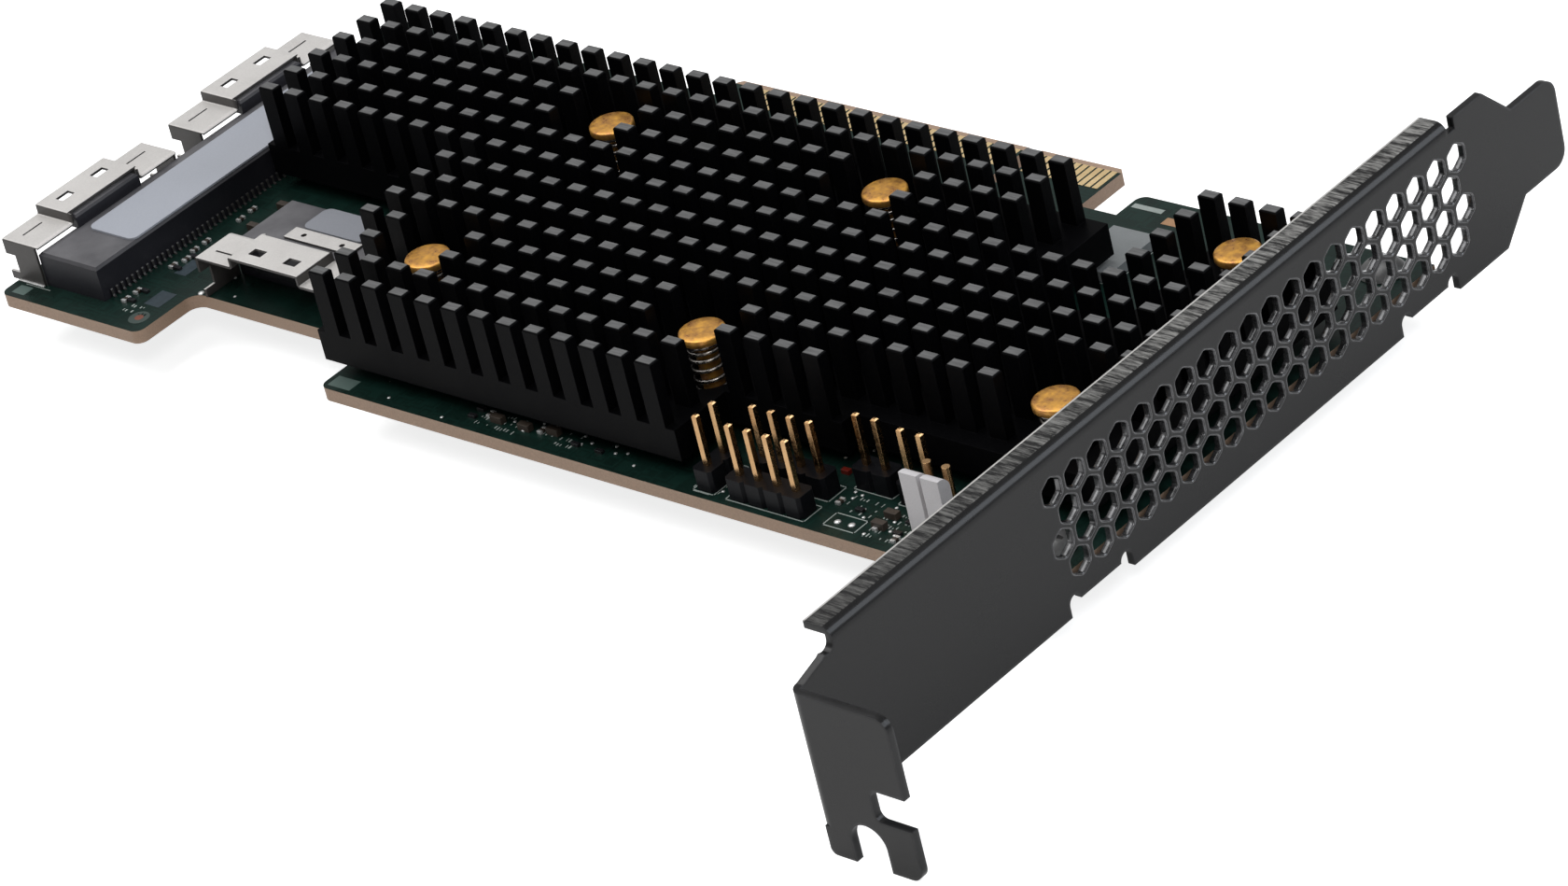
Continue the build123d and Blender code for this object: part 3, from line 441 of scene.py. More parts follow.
@dataclass(frozen=True)
class SolderMask(Finish):
    """Dark green mask over buried tracks and vias, with the laminate's pale raw edge."""

    track: Triple = (0.007, 0.028, 0.0215)
    track_scale: float = 420.0
    track_waves: float = 9.0
    track_ramp: Pair = (0.45, 0.55)
    track_share: float = 0.6
    via: Triple = (0.35, 0.36, 0.3)
    via_scale: float = 330.0
    via_rarity: float = 0.82
    via_radius: float = 0.055
    raw_edge: Triple = (0.36, 0.25, 0.18)
    layer_gain: float = 1.35
    bevel_from: float = 1.0

    def tracks(self, graph: Graph) -> Socket:
        """A mask of stepped lines round the cells of a square pattern.

        Args:
            graph: the material's graph.

        Returns:
            The mask's socket.
        """
        cells = graph.add("TexVoronoi", feature="F1", distance="CHEBYCHEV", in_Vector=graph.place(),
                          in_Scale=self.track_scale)
        waves = graph.times(cells.outputs["Distance"], self.track_waves)
        lines = graph.between(graph.maths("PINGPONG", waves, 1.0), *self.track_ramp)
        return graph.times(lines, self.track_share)

    def vias(self, graph: Graph) -> Socket:
        """A mask of a dot in some of the cells of a round pattern.

        Args:
            graph: the material's graph.

        Returns:
            The mask's socket.
        """
        cells = graph.add("TexVoronoi", feature="F1", in_Vector=graph.place(), in_Scale=self.via_scale)
        drawn = graph.add("SeparateColor", cells.outputs["Color"]).outputs[0]
        near = graph.maths("LESS_THAN", cells.outputs["Distance"], self.via_radius)
        return graph.times(near, graph.maths("GREATER_THAN", drawn, self.via_rarity))

    def layers(self, graph: Graph, grain: Node) -> list[Layer]:
        """Tracks, vias, and the raw edge where a face stands upright or lies in the tongue's bevel.

        Args:
            graph: the material's graph.
            grain: the placed grain group.

        Returns:
            The layers.
        """
        upright = graph.maths("LESS_THAN", graph.maths("ABSOLUTE", graph.facing()["Z"]), 0.5)
        bevel = graph.maths("GREATER_THAN", graph.parts(graph.place())["Y"], self.bevel_from)
        pale = tuple(self.layer_gain * c for c in self.raw_edge)
        raw = graph.mix(grain.outputs["Fine"], self.raw_edge, pale)
        return [(self.tracks(graph), self.track), (self.vias(graph), self.via),
                (graph.maths("MAXIMUM", upright, bevel), raw)]


@dataclass(frozen=True)
class DustAndSheenMoulding(Finish):
    """Dark moulding whose level faces carry a paler grey: patches of dust and a painted sheen."""

    # A paler grey on level faces: dust, and a painted sheen of the light from above
    dust_and_sheen: Triple = (0.17, 0.167, 0.176)
    level_ramp: Pair = (0.6, 0.95)
    patch_ramp: Pair = (-0.6, 0.8)

    def layers(self, graph: Graph, grain: Node) -> list[Layer]:
        """Dust and a painted sheen in patches where a face lies level."""
        level = graph.between(graph.facing()["Z"], *self.level_ramp)
        return [(graph.times(level, graph.between(grain.outputs["Broad"], *self.patch_ramp)), self.dust_and_sheen)]


@dataclass(frozen=True)
class Anodised(Finish):
    """Black anodised fins whose sawn tops are worn to a streaked grey, lightened by a painted sheen of the
    light from above.
    """

    # The tops' grey: wear, and a painted sheen of the light from above
    top: Triple = (0.2, 0.2, 0.2)
    top_height: float = 0.0
    top_fade: float = 0.00006
    streak_stretch: Triple = (0.08, 1.0, 1.0)
    streak_scale: float = 5200.0
    streak_ramp: Pair = (0.3, 0.7)
    streak_shade: float = 0.62

    def layers(self, graph: Graph, grain: Node) -> list[Layer]:
        """Grey streaks along X on the tops: wear, and a painted sheen of the light from above.

        Args:
            graph: the material's graph.
            grain: not used.

        Returns:
            The layers.
        """
        noise = graph.noise(graph.stretched(self.streak_stretch), in_Scale=self.streak_scale, in_Detail=3.0)
        shade = tuple(self.streak_shade * c for c in self.top)
        height = graph.parts(graph.place())["Z"]
        high = graph.between(height, self.top_height - self.top_fade, self.top_height)
        return [(high, graph.mix(graph.between(noise, *self.streak_ramp), shade, self.top))]


GROUPS = {"grain": grain_group(), "edge": edge_group()}

PAINT = FoldedPaint(
    "satin_black_paint", (0.0048, 0.0046, 0.0051), roughness=0.32, second=(0.0034, 0.0034, 0.0037),
    fine=9000.0, bump=0.08, edge_wear_and_highlight=(0.07, 0.07, 0.075), edge_radius=0.0005, specular=0.16, coat=0.36,
    strip_low=(TOP_Z - 0.05) * MM, strip_left=(FACE_X - RETURN_DEPTH) * MM,
    strip_right=(FACE_X - ROLL_DEPTH) * MM)
# The rims' lighter metallic grey is a painted highlight round the punched holes
PUNCHED = Finish(
    "punched_rim_highlight", (0.12, 0.12, 0.125), roughness=0.2, metallic=0.6, second=(0.035, 0.035, 0.036),
    pattern=Pattern.BRUSHED, broad=1200.0, contrast=0.1, fine=3500.0, bump=0.03, coat=0.6)
MASK = SolderMask(
    "dark_green_mask", (0.0042, 0.018, 0.0135), roughness=0.34, second=(0.0022, 0.0095, 0.0072), bump=0.06,
    specular=0.22, bevel_from=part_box("board")[1].y - BEVEL_LENGTH * MM)
BLACK_METAL = Anodised(
    "black_fin_metal", (0.0014, 0.0014, 0.0019), roughness=0.4, second=(0.0009, 0.0009, 0.0012),
    pattern=Pattern.CAST, fine=7000.0, edge_radius=0.00006, specular=0.035, edge_wear_and_highlight=(0.016, 0.016, 0.018),
    top_height=(FIN_TOP_Z + TIP) * MM)
BRASS = Finish(
    "orange_brass", (0.88, 0.45, 0.085), roughness=0.36, metallic=0.65, second=(0.46, 0.19, 0.08),
    broad=720.0, contrast=0.15, fine=2600.0, rough_spread=0.16, bump=0.05)
SPRING = Finish("dark_spring_wire", (0.34, 0.32, 0.3), roughness=0.25, metallic=1.0)
ZINC = Finish("zinc_plate", (0.15, 0.15, 0.15), roughness=0.45, metallic=0.5, broad=900.0)
# Its near-white edge colour is a painted highlight, and its upright walls take a painted shade
TIN = PlatedSheet(
    "bright_tin", (0.74, 0.715, 0.69), roughness=0.42, metallic=0.3, second=(0.68, 0.655, 0.63), fine=5000.0,
    broad=200.0, bump=0.06, edge_radius=0.00016, edge_wear_and_highlight=(0.95, 0.95, 0.94))
SLATE = DustAndSheenMoulding(
    "slate_moulding", (0.02, 0.0195, 0.025), roughness=0.36, second=(0.013, 0.0128, 0.017), fine=8000.0,
    bump=0.2, edge_wear_and_highlight=(0.06, 0.06, 0.065), specular=0.3)
RESIN = Finish(
    "black_moulding", (0.005, 0.0052, 0.0068), roughness=0.36, second=(0.0032, 0.0034, 0.0046), fine=8000.0,
    bump=0.2, edge_wear_and_highlight=(0.022, 0.022, 0.025), specular=0.1)
WHITE_RESIN = Finish(
    "off_white_moulding", (0.68, 0.66, 0.67), roughness=0.45, second=(0.62, 0.6, 0.61), bump=0.15)
DULL_LEAD = Finish("dull_lead", (0.07, 0.068, 0.066), roughness=0.4, metallic=0.4)
PIN_GOLD = Finish(
    "header_pin_gold", (0.66, 0.42, 0.21), roughness=0.24, metallic=1.0, second=(0.45, 0.24, 0.1),
    broad=350.0, fine=2500.0, bump=0.03)
GOLD = Finish(
    "gold_flash", (0.98, 0.7, 0.38), roughness=0.36, metallic=0.6, second=(0.86, 0.58, 0.28), broad=300.0,
    fine=3000.0, bump=0.04)
COPPER = Finish("bare_copper_pad", (0.62, 0.36, 0.2), roughness=0.4, metallic=0.7)
SOLDER = Finish("solder_joint", (0.82, 0.82, 0.81), roughness=0.28, metallic=0.5, broad=1200.0)
FILM = Finish(
    "pale_pickup_film", (0.43, 0.45, 0.5), second=(0.39, 0.41, 0.46), broad=60.0, bump=0.05)
GREY_FILM = Finish(
    "grey_pickup_film", (0.27, 0.28, 0.31), second=(0.24, 0.25, 0.28), broad=60.0, bump=0.05)
PAD_RUBBER = Finish("grey_gap_pad", (0.3, 0.31, 0.34), roughness=0.8)
CHIP = Finish("matt_chip", (0.02, 0.02, 0.021), roughness=0.55, bump=0.35)
GREY_CHIP = Finish("grey_chip_top", (0.24, 0.255, 0.26), roughness=0.4, second=(0.18, 0.19, 0.19), bump=0.3)
CERAMIC = Finish("brown_ceramic", (0.05, 0.036, 0.026), second=(0.028, 0.021, 0.016), broad=900.0)
BLACK_FILM = Finish("black_glaze", (0.012, 0.012, 0.014), roughness=0.3)
RED_LENS = Finish("red_lens", (0.16, 0.012, 0.006), roughness=0.3)
SLATE_PATCH = Finish(
    "slate_patch", (0.035, 0.055, 0.07), roughness=0.4, second=(0.012, 0.02, 0.026), broad=2500.0)
PALE_PATCH = Finish(
    "pale_patch", (0.1, 0.15, 0.135), roughness=0.45, second=(0.075, 0.12, 0.105), broad=500.0)
MARK_RING = Finish("mark_ring", (0.05, 0.075, 0.066), roughness=0.4, second=(0.035, 0.055, 0.05))
MARK_CENTRE = Finish("mark_centre", (0.26, 0.09, 0.06), roughness=0.4, metallic=0.3)
SILK = Finish("white_ink", (0.36, 0.4, 0.38), roughness=0.7, second=(0.26, 0.3, 0.28), bump=0.05)

NODE_FINISHES = {
    "bracket": PAINT,
    "board": MASK,
    "edge_contacts": GOLD,
    "heat_sink": BLACK_METAL,
    "thermal_pad": PAD_RUBBER,
    "controller_chip": CHIP,
    "regulator_chip": GREY_CHIP,
    "side_port_clip": TIN,
    "end_port_cap": FILM,
    "side_port_cap": GREY_FILM,
    **{"header_" + name: RESIN for name in ("corner", "upper", "lower", "inner_pair", "outer_pair")},
    "header_pins": PIN_GOLD,
    "wafer": WHITE_RESIN,
    "wafer_pins": PIN_GOLD,
    "capacitors": CERAMIC,
    "resistors": BLACK_FILM,
}


def lofted(rings: np.ndarray, places: np.ndarray, closed: bool) -> tuple[np.ndarray, list, list]:
    """Walls between rings of points, repeated at many places.

    Point (k, i, j) is places[k] + rings[i, j]: i goes along the piece, j round it.

    Args:
        rings: m rings of n points, in millimetres, counterclockwise seen from the last ring. One axis more in
            front gives each place its own rings.
        places: an array of points that the rings are moved to.
        closed: whether the last ring is joined to the first. If not, a face closes each end.

    Returns:
        The points, the quads and the end faces.
    """
    m, n = rings.shape[-3:-1]
    points = places[:, None, None] + rings
    base = (np.arange(len(places)) * m * n)[:, None, None]
    i, j = np.arange(m if closed else m - 1)[None, :, None], np.arange(n)[None, None]
    low, high, following = base + i * n, base + (i + 1) % m * n, (j + 1) % n
    quads = np.stack([low + j, low + following, high + following, high + j], axis=-1).reshape(-1, 4)
    first = base[:, 0] + np.arange(n)[::-1]
    last = base[:, 0] + (m - 1) * n + np.arange(n)
    return points, quads.tolist(), [] if closed else first.tolist() + last.tolist()


def turned(profile: np.ndarray, sides: int) -> np.ndarray:
    """Rings of a body of revolution: (r cos a, r sin a, z) for each profile point (r, z) and angle a.

    Args:
        profile: rows of r and z in millimetres.
        sides: how many angles there are.

    Returns:
        The rings.
    """
    angle = np.linspace(0, 2 * np.pi, sides, endpoint=False)
    r, z = profile[:, :1], profile[:, 1:]
    return np.stack([r * np.cos(angle), r * np.sin(angle), z + 0 * angle], axis=-1)


def block(size: Triple, inset: float = 0.0) -> np.ndarray:
    """Rings of an upright block whose top edge is cut back at 45 degrees.

    Args:
        size: its length, width and height.
        inset: how far the top is cut back.

    Returns:
        The rings, with the middle of the block's lower face at the origin.
    """
    levels = [(0.0, 0.0), (size[2] - inset, 0.0), (size[2], inset)] if inset else [(0.0, 0.0), (size[2], 0.0)]
    plans = [SQUARE / 2 * (np.array(size[:2]) - 2 * cut) for _, cut in levels]
    return np.array([np.column_stack([plan, np.full(4, height)]) for plan, (height, _) in zip(plans, levels)])


def put(name: str, data: bpy.types.ID) -> bpy.types.Object:
    """Put an object into the scene.

    Args:
        name: its name.
        data: its mesh, lamp or lens.

    Returns:
        The new object.
    """
    made = bpy.data.objects.new(name, data)
    bpy.context.scene.collection.objects.link(made)
    return made


def show(name: str, points: np.ndarray, faces: list, finish: Finish, nodes: tuple[str, ...] = (),
         smooth: int = 0) -> bpy.types.Object:
    """Make a piece, dress it and let it ride on the card.

    Args:
        name: the piece's name.
        points: its points in millimetres.
        faces: its faces.
        finish: its finish.
        nodes: the CAD nodes that it stands for.
        smooth: how many of its first faces are shaded smooth.

    Returns:
        The new object.
    """
    mesh = bpy.data.meshes.new(name)
    mesh.from_pydata((points.reshape(-1, 3) * MM).tolist(), [], faces)
    mesh.polygons.foreach_set("use_smooth", [index < smooth for index in range(len(faces))])
    mesh.update()
    made = put(name, mesh)
    made.data.materials.append(finish.material())
    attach(made, "root")
    if nodes:
        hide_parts(*nodes)
    LOG.info("%s: %d faces", name, len(faces))
    return made


def piece(name: str, rings: np.ndarray, places: np.ndarray, finish: Finish, smooth: bool = False,
          nodes: tuple[str, ...] = (), closed: bool = False) -> None:
    """Make a piece from rings of points.

    Args:
        name: the piece's name.
        rings: its rings, as lofted takes them.
        places: the points it is repeated at.
        finish: its finish.
        smooth: whether its walls are shaded smooth.
        nodes: the CAD nodes that it stands for.
        closed: whether its last ring is joined to its first.
    """
    points, quads, ends = lofted(rings, np.atleast_2d(places), closed)
    show(name, points, quads + ends, finish, nodes, len(quads) * smooth)


@dataclass
class HeatSink:
    """The chamfered, streaked tips on top of the fins."""

    pitch: Pair = (3.956, 3.967)
    fin: Pair = (2.2, 1.4)
    first: Pair = (4.75, 37.4)
    keep_out: float = 4.6
    last: int = 33
    # The first column of each row, and how many columns each row ends before the last one
    starts: tuple[int, ...] = (12, 12, 8, 3, 3) + (0,) * 8
    stops: tuple[int, ...] = (9,) * 3 + (8,) * 4 + (0,) * 6
    # The gap over the regulator: its first row, its first column and its last column
    gap: tuple[int, int, int] = (9, 4, 7)

    def places(self, pins: np.ndarray) -> np.ndarray:
        """Middles of the fins: a grid, cut to the stepped outline, the gap and the pins' seats.

        Args:
            pins: places of the push pins, measured from the face and the rim.

        Returns:
            The places as an array of points.
        """
        column, line = np.meshgrid(np.arange(self.last + 1), np.arange(len(self.starts)))
        x = self.first[0] + self.pitch[0] * column
        y = self.first[1] + self.pitch[1] * line
        stands = (column >= np.array(self.starts)[line]) & (column <= self.last - np.array(self.stops)[line])
        stands &= ~((line >= self.gap[0]) & (column >= self.gap[1]) & (column <= self.gap[2]))
        reach = np.hypot(x[..., None] - pins[:, 0], y[..., None] - pins[:, 1]).min(-1)
        stands &= reach > self.keep_out
        return on_card(np.column_stack([x[stands], y[stands]]), FIN_TOP_Z - BOARD_Z)

    def build(self, pins: np.ndarray) -> None:
        """Put a tip on every fin."""
        tip = block((*self.fin, TIP), inset=TIP - 0.01)
        piece("fin_tips", tip, self.places(pins), BLACK_METAL)


@dataclass
class PushPins:
    """Round-headed pins with their springs."""

    spots: tuple[Pair, ...] = (
        (94.0, 47.3), (54.2, 47.3), (93.8, 76.6), (54.2, 76.6), (10.2, 51.2), (10.2, 80.6))
    head: float = 2.5
    head_top: float = 10.6
    head_height: float = 0.9
    shaft: float = 1.3
    barb: float = 1.7
    under: float = -1.57
    seat: float = 2.8
    coil: float = 1.875
    wire: float = 0.22
    turns: float = 7.0
    flattening: float = 0.055

    def build(self) -> None:
        """Make the pins and the springs."""
        low, top = self.head_top - self.head_height, self.head_top
        neck = self.shaft * 0.96
        profile = np.array([
            (0.25, self.under - 1.3), (0.9, self.under - 0.9), (self.barb * 0.98, self.under - 0.02),
            (neck, self.under), (neck, low), (self.head - 0.12, low), (self.head, low + 0.12),
            (self.head, top - 0.2), (self.head - 0.06, top - 0.08), (self.head - 0.22, top - 0.02),
            (self.head * 0.5, top), (0.05, top),
        ])
        places = on_card(self.spots)
        piece("pins", turned(profile, 40), places, BRASS, smooth=True, nodes=("push_pins",))
        piece("spring_coils", self.coil_rings(low), places, SPRING, smooth=True,
              nodes=("pin_springs",))

    def coil_rings(self, top: float) -> np.ndarray:
        """Rings of a wire wound on a helix.

        The path is (R cos 2 pi N t, R sin 2 pi N t, z(t)), with z eased so that the end turns lie flat.
        Each ring is a circle of the wire's radius round the path, spanned by the outward and the binormal
        direction.

        Args:
            top: height of the coil's upper end over the board.

        Returns:
            The rings in millimetres.
        """
        t = np.linspace(0, 1, 169)
        turn = 2 * np.pi * self.turns * t
        ease = t - self.flattening * np.sin(2 * np.pi * t)
        z = self.seat + self.wire + (top - self.seat - 2 * self.wire) * ease
        path = np.column_stack([self.coil * np.cos(turn), self.coil * np.sin(turn), z])
        tangent = np.gradient(path, axis=0)
        tangent /= np.linalg.norm(tangent, axis=1, keepdims=True)
        outward = np.column_stack([np.cos(turn), np.sin(turn), 0 * turn])
        binormal = np.cross(tangent, outward)
        a = np.linspace(0, 2 * np.pi, 8, endpoint=False)[None, :, None]
        return path[:, None] + self.wire * (np.cos(a) * binormal[:, None] + np.sin(a) * outward[:, None])


@dataclass
class BoardScrews:
    """Pan-head screws with a cross recess, through the board into the bracket's tabs."""

    spots: tuple[Pair, ...] = ((5.6, 41.9), (5.6, 96.2))
    head: float = 2.6
    height: float = 1.5
    brim: float = 0.1
    slot_width: float = 0.35
    slot_reach: float = 1.4
    slot_depth: float = 0.7
    thread: float = 1.35
    length: float = 3.6

    def build(self) -> None:
        """Make the screws: rings of a dome, lowered where the cross recess runs.

        The dome is (R (1 - u)^0.55, b + (h - b) (1 - (1 - u)^1.6)) for u from 0 to 1, where b is the brim.
        Where the recess runs, a point at the distance d from the middle is lowered by its depth times
        1 - d / (2 reach).
        """
        outline = [(self.thread * 0.6, -self.length), (self.thread, -self.length + 0.4), (self.thread, 0.0),
                   (self.head - self.brim / 2, 0.0), (self.head, self.brim)]
        left = 1 - np.linspace(0.0, 1.0, 22)[1:]
        rise = self.brim + (self.height - self.brim) * (1 - left ** 1.6)
        dome = np.column_stack([self.head * left ** 0.55, rise])
        dome[-1] = (0.02, self.height)
        rings = turned(np.vstack([outline, dome]), 96)
        x, y = np.abs(rings[..., 0]), np.abs(rings[..., 1])
        away = np.hypot(x, y)
        cross = ((x < self.slot_width) | (y < self.slot_width)) & (away < self.slot_reach)
        cross &= rings[..., 2] > 2 * self.brim
        rings[..., 2] -= self.slot_depth * cross * (1 - away / self.slot_reach * 0.5)
        piece("screws", rings, on_card(self.spots), ZINC, nodes=("board_screws",))


@dataclass(frozen=True)
class Mouth:
    """Where a port's mouth is: the middle of its sill, the way across it and the way in."""

    origin: np.ndarray
    across: np.ndarray
    inward: np.ndarray
    up: np.ndarray = field(default_factory=lambda: np.array([0.0, 0.0, 1.0]))

    def at(self, across: float, inward: float, up: float = 0.0) -> np.ndarray:
        """A point given in the mouth's own directions."""
        return self.origin + across * self.across + inward * self.inward + up * self.up

    def row(self, start: np.ndarray, count: int, pitch: float) -> np.ndarray:
        """Places of a row across the port, centred on a point."""
        steps = (np.arange(count) - (count - 1) / 2) * pitch
        return start + steps[:, None] * self.across

    def turn(self, rings: np.ndarray) -> np.ndarray:
        """Rings given across, inward and up, turned to the mouth's directions."""
        return rings @ np.array([self.across, self.inward, self.up])


@dataclass
class PortHood:
    """Folded hood of a port: slit shoulders, raised bridge with windows, notched flanks, turned-down lip."""

    width: float = 22.3
    bridge: float = 10.9
    shoulder: float = 5.1
    top: float = 6.3
    sheet: float = 0.3
    fold: float = 0.2
    window_at: float = 2.7
    window: float = 1.9
    slit_at: float = 8.2
    slit: float = 3.0
    bite: Pair = (1.0, 3.2)
    levels: tuple[float, ...] = (0.0, 1.5, 1.88, 2.12, 2.7, 5.3, 5.46, 5.66, 5.78)
    drops: tuple[float, ...] = (0.0,) * 6 + (0.03, 0.11, 0.19)
    # Cells left out of the grid, by first and last column from either flank and first and last level:
    # the bites, the slits, the windows, and the lip at the flanks and at the bridge
    openings: tuple[tuple[int, int, int, int], ...] = (
        (1, 1, 0, 0), (8, 8, 2, 2), (20, 20, 1, 3), (0, 2, 5, 7), (17, 21, 5, 7))

    def bend(self, x: float, z: float, start: float, end: float, hollow: bool = False) -> np.ndarray:
        """Points of a fold, (x + r cos a, z + r sin a), and the way outwards, (cos a, sin a) or its opposite.

        Args:
            x: the fold's middle, across.
            z: the fold's middle, up.
            start: first angle in degrees.
            end: last angle in degrees.
            hollow: whether the sheet's outer side faces the fold's middle.

        Returns:
            Rows of x, z and the two parts of the way outwards.
        """
        angle = np.radians(np.linspace(start, end, 5))
        away = np.column_stack([np.cos(angle), np.sin(angle)])
        return np.column_stack([np.array([x, z]) + self.fold * away, -away if hollow else away])

    def profile(self) -> np.ndarray:
        """The folded section from flank to flank.

        Returns:
            Rows of x, z and the two parts of the way outwards.
        """
        half, bridge, r = self.width / 2, self.bridge / 2, self.fold
        flank = [(-half, z, -1.0, 0.0) for z in (0.0, *self.bite)]
        slit = [(-self.slit_at + side * self.slit / 2, self.shoulder, 0.0, 1.0) for side in (-1, 1)]
        window = [(-self.window_at + side * self.window / 2, self.top, 0.0, 1.0) for side in (-1, 1)]
        left = np.vstack([
            flank,
            self.bend(-half + r, self.shoulder - r, 180, 90),
            slit,
            self.bend(-bridge - r, self.shoulder + r, 270, 360, hollow=True),
            self.bend(-bridge + r, self.top - r, 180, 90),
            window,
        ])
        return np.vstack([left, left[::-1] * np.array([-1.0, 1.0, -1.0, 1.0])])

    def build(self, name: str, mouth: Mouth) -> None:
        """Make the hood of one mouth.

        A point is (x, z) less its way outwards times the drop at that depth, carried in to the depth. The
        openings are left out of the grid.

        Args:
            name: the CAD node that it stands for.
            mouth: where the port is.
        """
        line = self.profile()
        drop = np.array(self.drops)[:, None, None]
        flat = line[None, :, :2] - drop * line[None, :, 2:]
        depth = np.array(self.levels)[:, None, None]
        points = mouth.origin + flat[..., :1] * mouth.across + flat[..., 1:] * mouth.up + depth * mouth.inward
        rows, columns = points.shape[:2]
        i, j = np.meshgrid(np.arange(rows - 1), np.arange(columns - 1), indexing="ij")
        side = np.minimum(j, columns - 2 - j)
        kept = np.full(i.shape, True)
        for first, last, low, high in self.openings:
            kept &= ~((side >= first) & (side <= last) & (i >= low) & (i <= high))
        corner = i[kept] * columns + j[kept]
        quads = np.column_stack([corner, corner + 1, corner + columns + 1, corner + columns])
        made = show(name + "_hood", points, quads.tolist(), TIN, (name,))
        wall = made.modifiers.new("wall", "SOLIDIFY")
        wall.thickness = self.sheet * MM
        wall.offset = -1.0


@dataclass
class CablePorts:
    """Hoods, moulded bodies, contact blades and soldered leads of the three cable ports."""

    depth: float = 14.9
    front: float = 5.35
    height: float = 4.2
    narrower: float = 0.7
    blade: Triple = (12.6, 1.3, 0.9)
    blade_height: float = 1.65
    contacts: int = 19
    contact_pitch: float = 0.6
    contact: Triple = (0.3, 1.1, 0.06)
    lead_pitch: float = 0.8
    lead_width: float = 0.3
    rib: Triple = (9.9, 2.1, 1.6)
    foot: Triple = (0.5, 4.2, 0.14)
    foot_at: float = 3.2
    end_leads: int = 58
    side_leads: int = 25
    # A lead's section along its way: distance from the body, upper side and lower side
    lead_path: tuple[Triple, ...] = (
        (-0.02, 1.0, 0.8), (0.1, 1.0, 0.8), (0.18, 0.9, 0.5), (0.22, 0.3, 0.05), (0.3, 0.13, 0.0),
        (0.48, 0.12, 0.0))

    def mouths(self) -> dict[str, Mouth]:
        """The mouths, from the boxes of the CAD hoods.

        Returns:
            Each hood's name and its mouth.
        """
        found = {}
        for name in ("end_port_shell_near", "end_port_shell_far"):
            low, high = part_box(name)
            sill = np.array([low.x / MM, (low.y + high.y) / 2 / MM, BOARD_Z])
            found[name] = Mouth(sill, np.array([0.0, -1.0, 0.0]), np.array([1.0, 0.0, 0.0]))
        low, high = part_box("side_port_shell")
        sill = np.array([(low.x + high.x) / 2 / MM, low.y / MM, BOARD_Z])
        found["side_port_shell"] = Mouth(sill, np.array([1.0, 0.0, 0.0]), np.array([0.0, 1.0, 0.0]))
        return found

    def lead(self) -> np.ndarray:
        """Rings along a bent lead: out of the body, down to the board and flat on it."""
        w = self.lead_width / 2
        return np.array([[(-w, out, low), (w, out, low), (w, out, top), (-w, out, top)]
                         for out, top, low in self.lead_path])

    def body(self, name: str, mouth: Mouth, width: float, leads: int) -> None:
        """Make a moulded body with its leads.

        Args:
            name: the CAD node that it stands for.
            mouth: the middle of its mouths.
            width: its width.
            leads: how many leads it has.
        """
        length = self.depth - self.front
        piece(name + "_body", mouth.turn(block((width, length, self.height), 0.3)),
              mouth.at(0, self.front + length / 2), SLATE, nodes=(name,))
        places = mouth.row(mouth.at(0, self.depth), leads, self.lead_pitch)
        piece(name + "_leads", mouth.turn(self.lead()), places, DULL_LEAD)

    def fill(self, name: str, mouth: Mouth, width: float) -> None:
        """Make the blade, the rib, the contacts and the solder feet of one mouth.

        Args:
            name: the port's name.
            mouth: where it is.
            width: the width of its hood.
        """
        blade_at = mouth.at(0, self.front - self.blade[1] / 2 + 0.05, self.blade_height)
        rib_at = mouth.at(0, self.front - 0.4, self.height - 0.05)
        contacts_at = mouth.at(0, self.front - self.contact[1] / 2, self.blade_height + self.blade[2])
        contacts = mouth.row(contacts_at, self.contacts, self.contact_pitch)
        feet = mouth.row(mouth.at(0, self.foot_at), 2, width)
        for part, size, inset, places, finish, slot in (
                ("_blade", self.blade, 0.0, blade_at, RESIN, "housing_resin"),
                ("_rib", self.rib, 0.25, rib_at, SLATE, "housing_resin"),
                ("_contacts", self.contact, 0.0, contacts, GOLD, "gold"),
                ("_solder_feet", self.foot, 0.06, feet, SOLDER, "tin_plate")):
            piece(name + part, mouth.turn(block(size, inset)), places, finish)

    def build(self) -> None:
        """Make the three ports."""
        mouths = self.mouths()
        hood = PortHood()
        for name, mouth in mouths.items():
            hood.build(name, mouth)
            self.fill(name.replace("_shell", ""), mouth, hood.width)
        near, far = mouths["end_port_shell_near"], mouths["end_port_shell_far"]
        both = Mouth((near.origin + far.origin) / 2, near.across, near.inward)
        pitch = abs(near.origin[1] - far.origin[1])
        self.body("end_port_housing", both, pitch + hood.width - self.narrower, self.end_leads)
        self.body("side_port_housing", mouths["side_port_shell"], hood.width - self.narrower, self.side_leads)


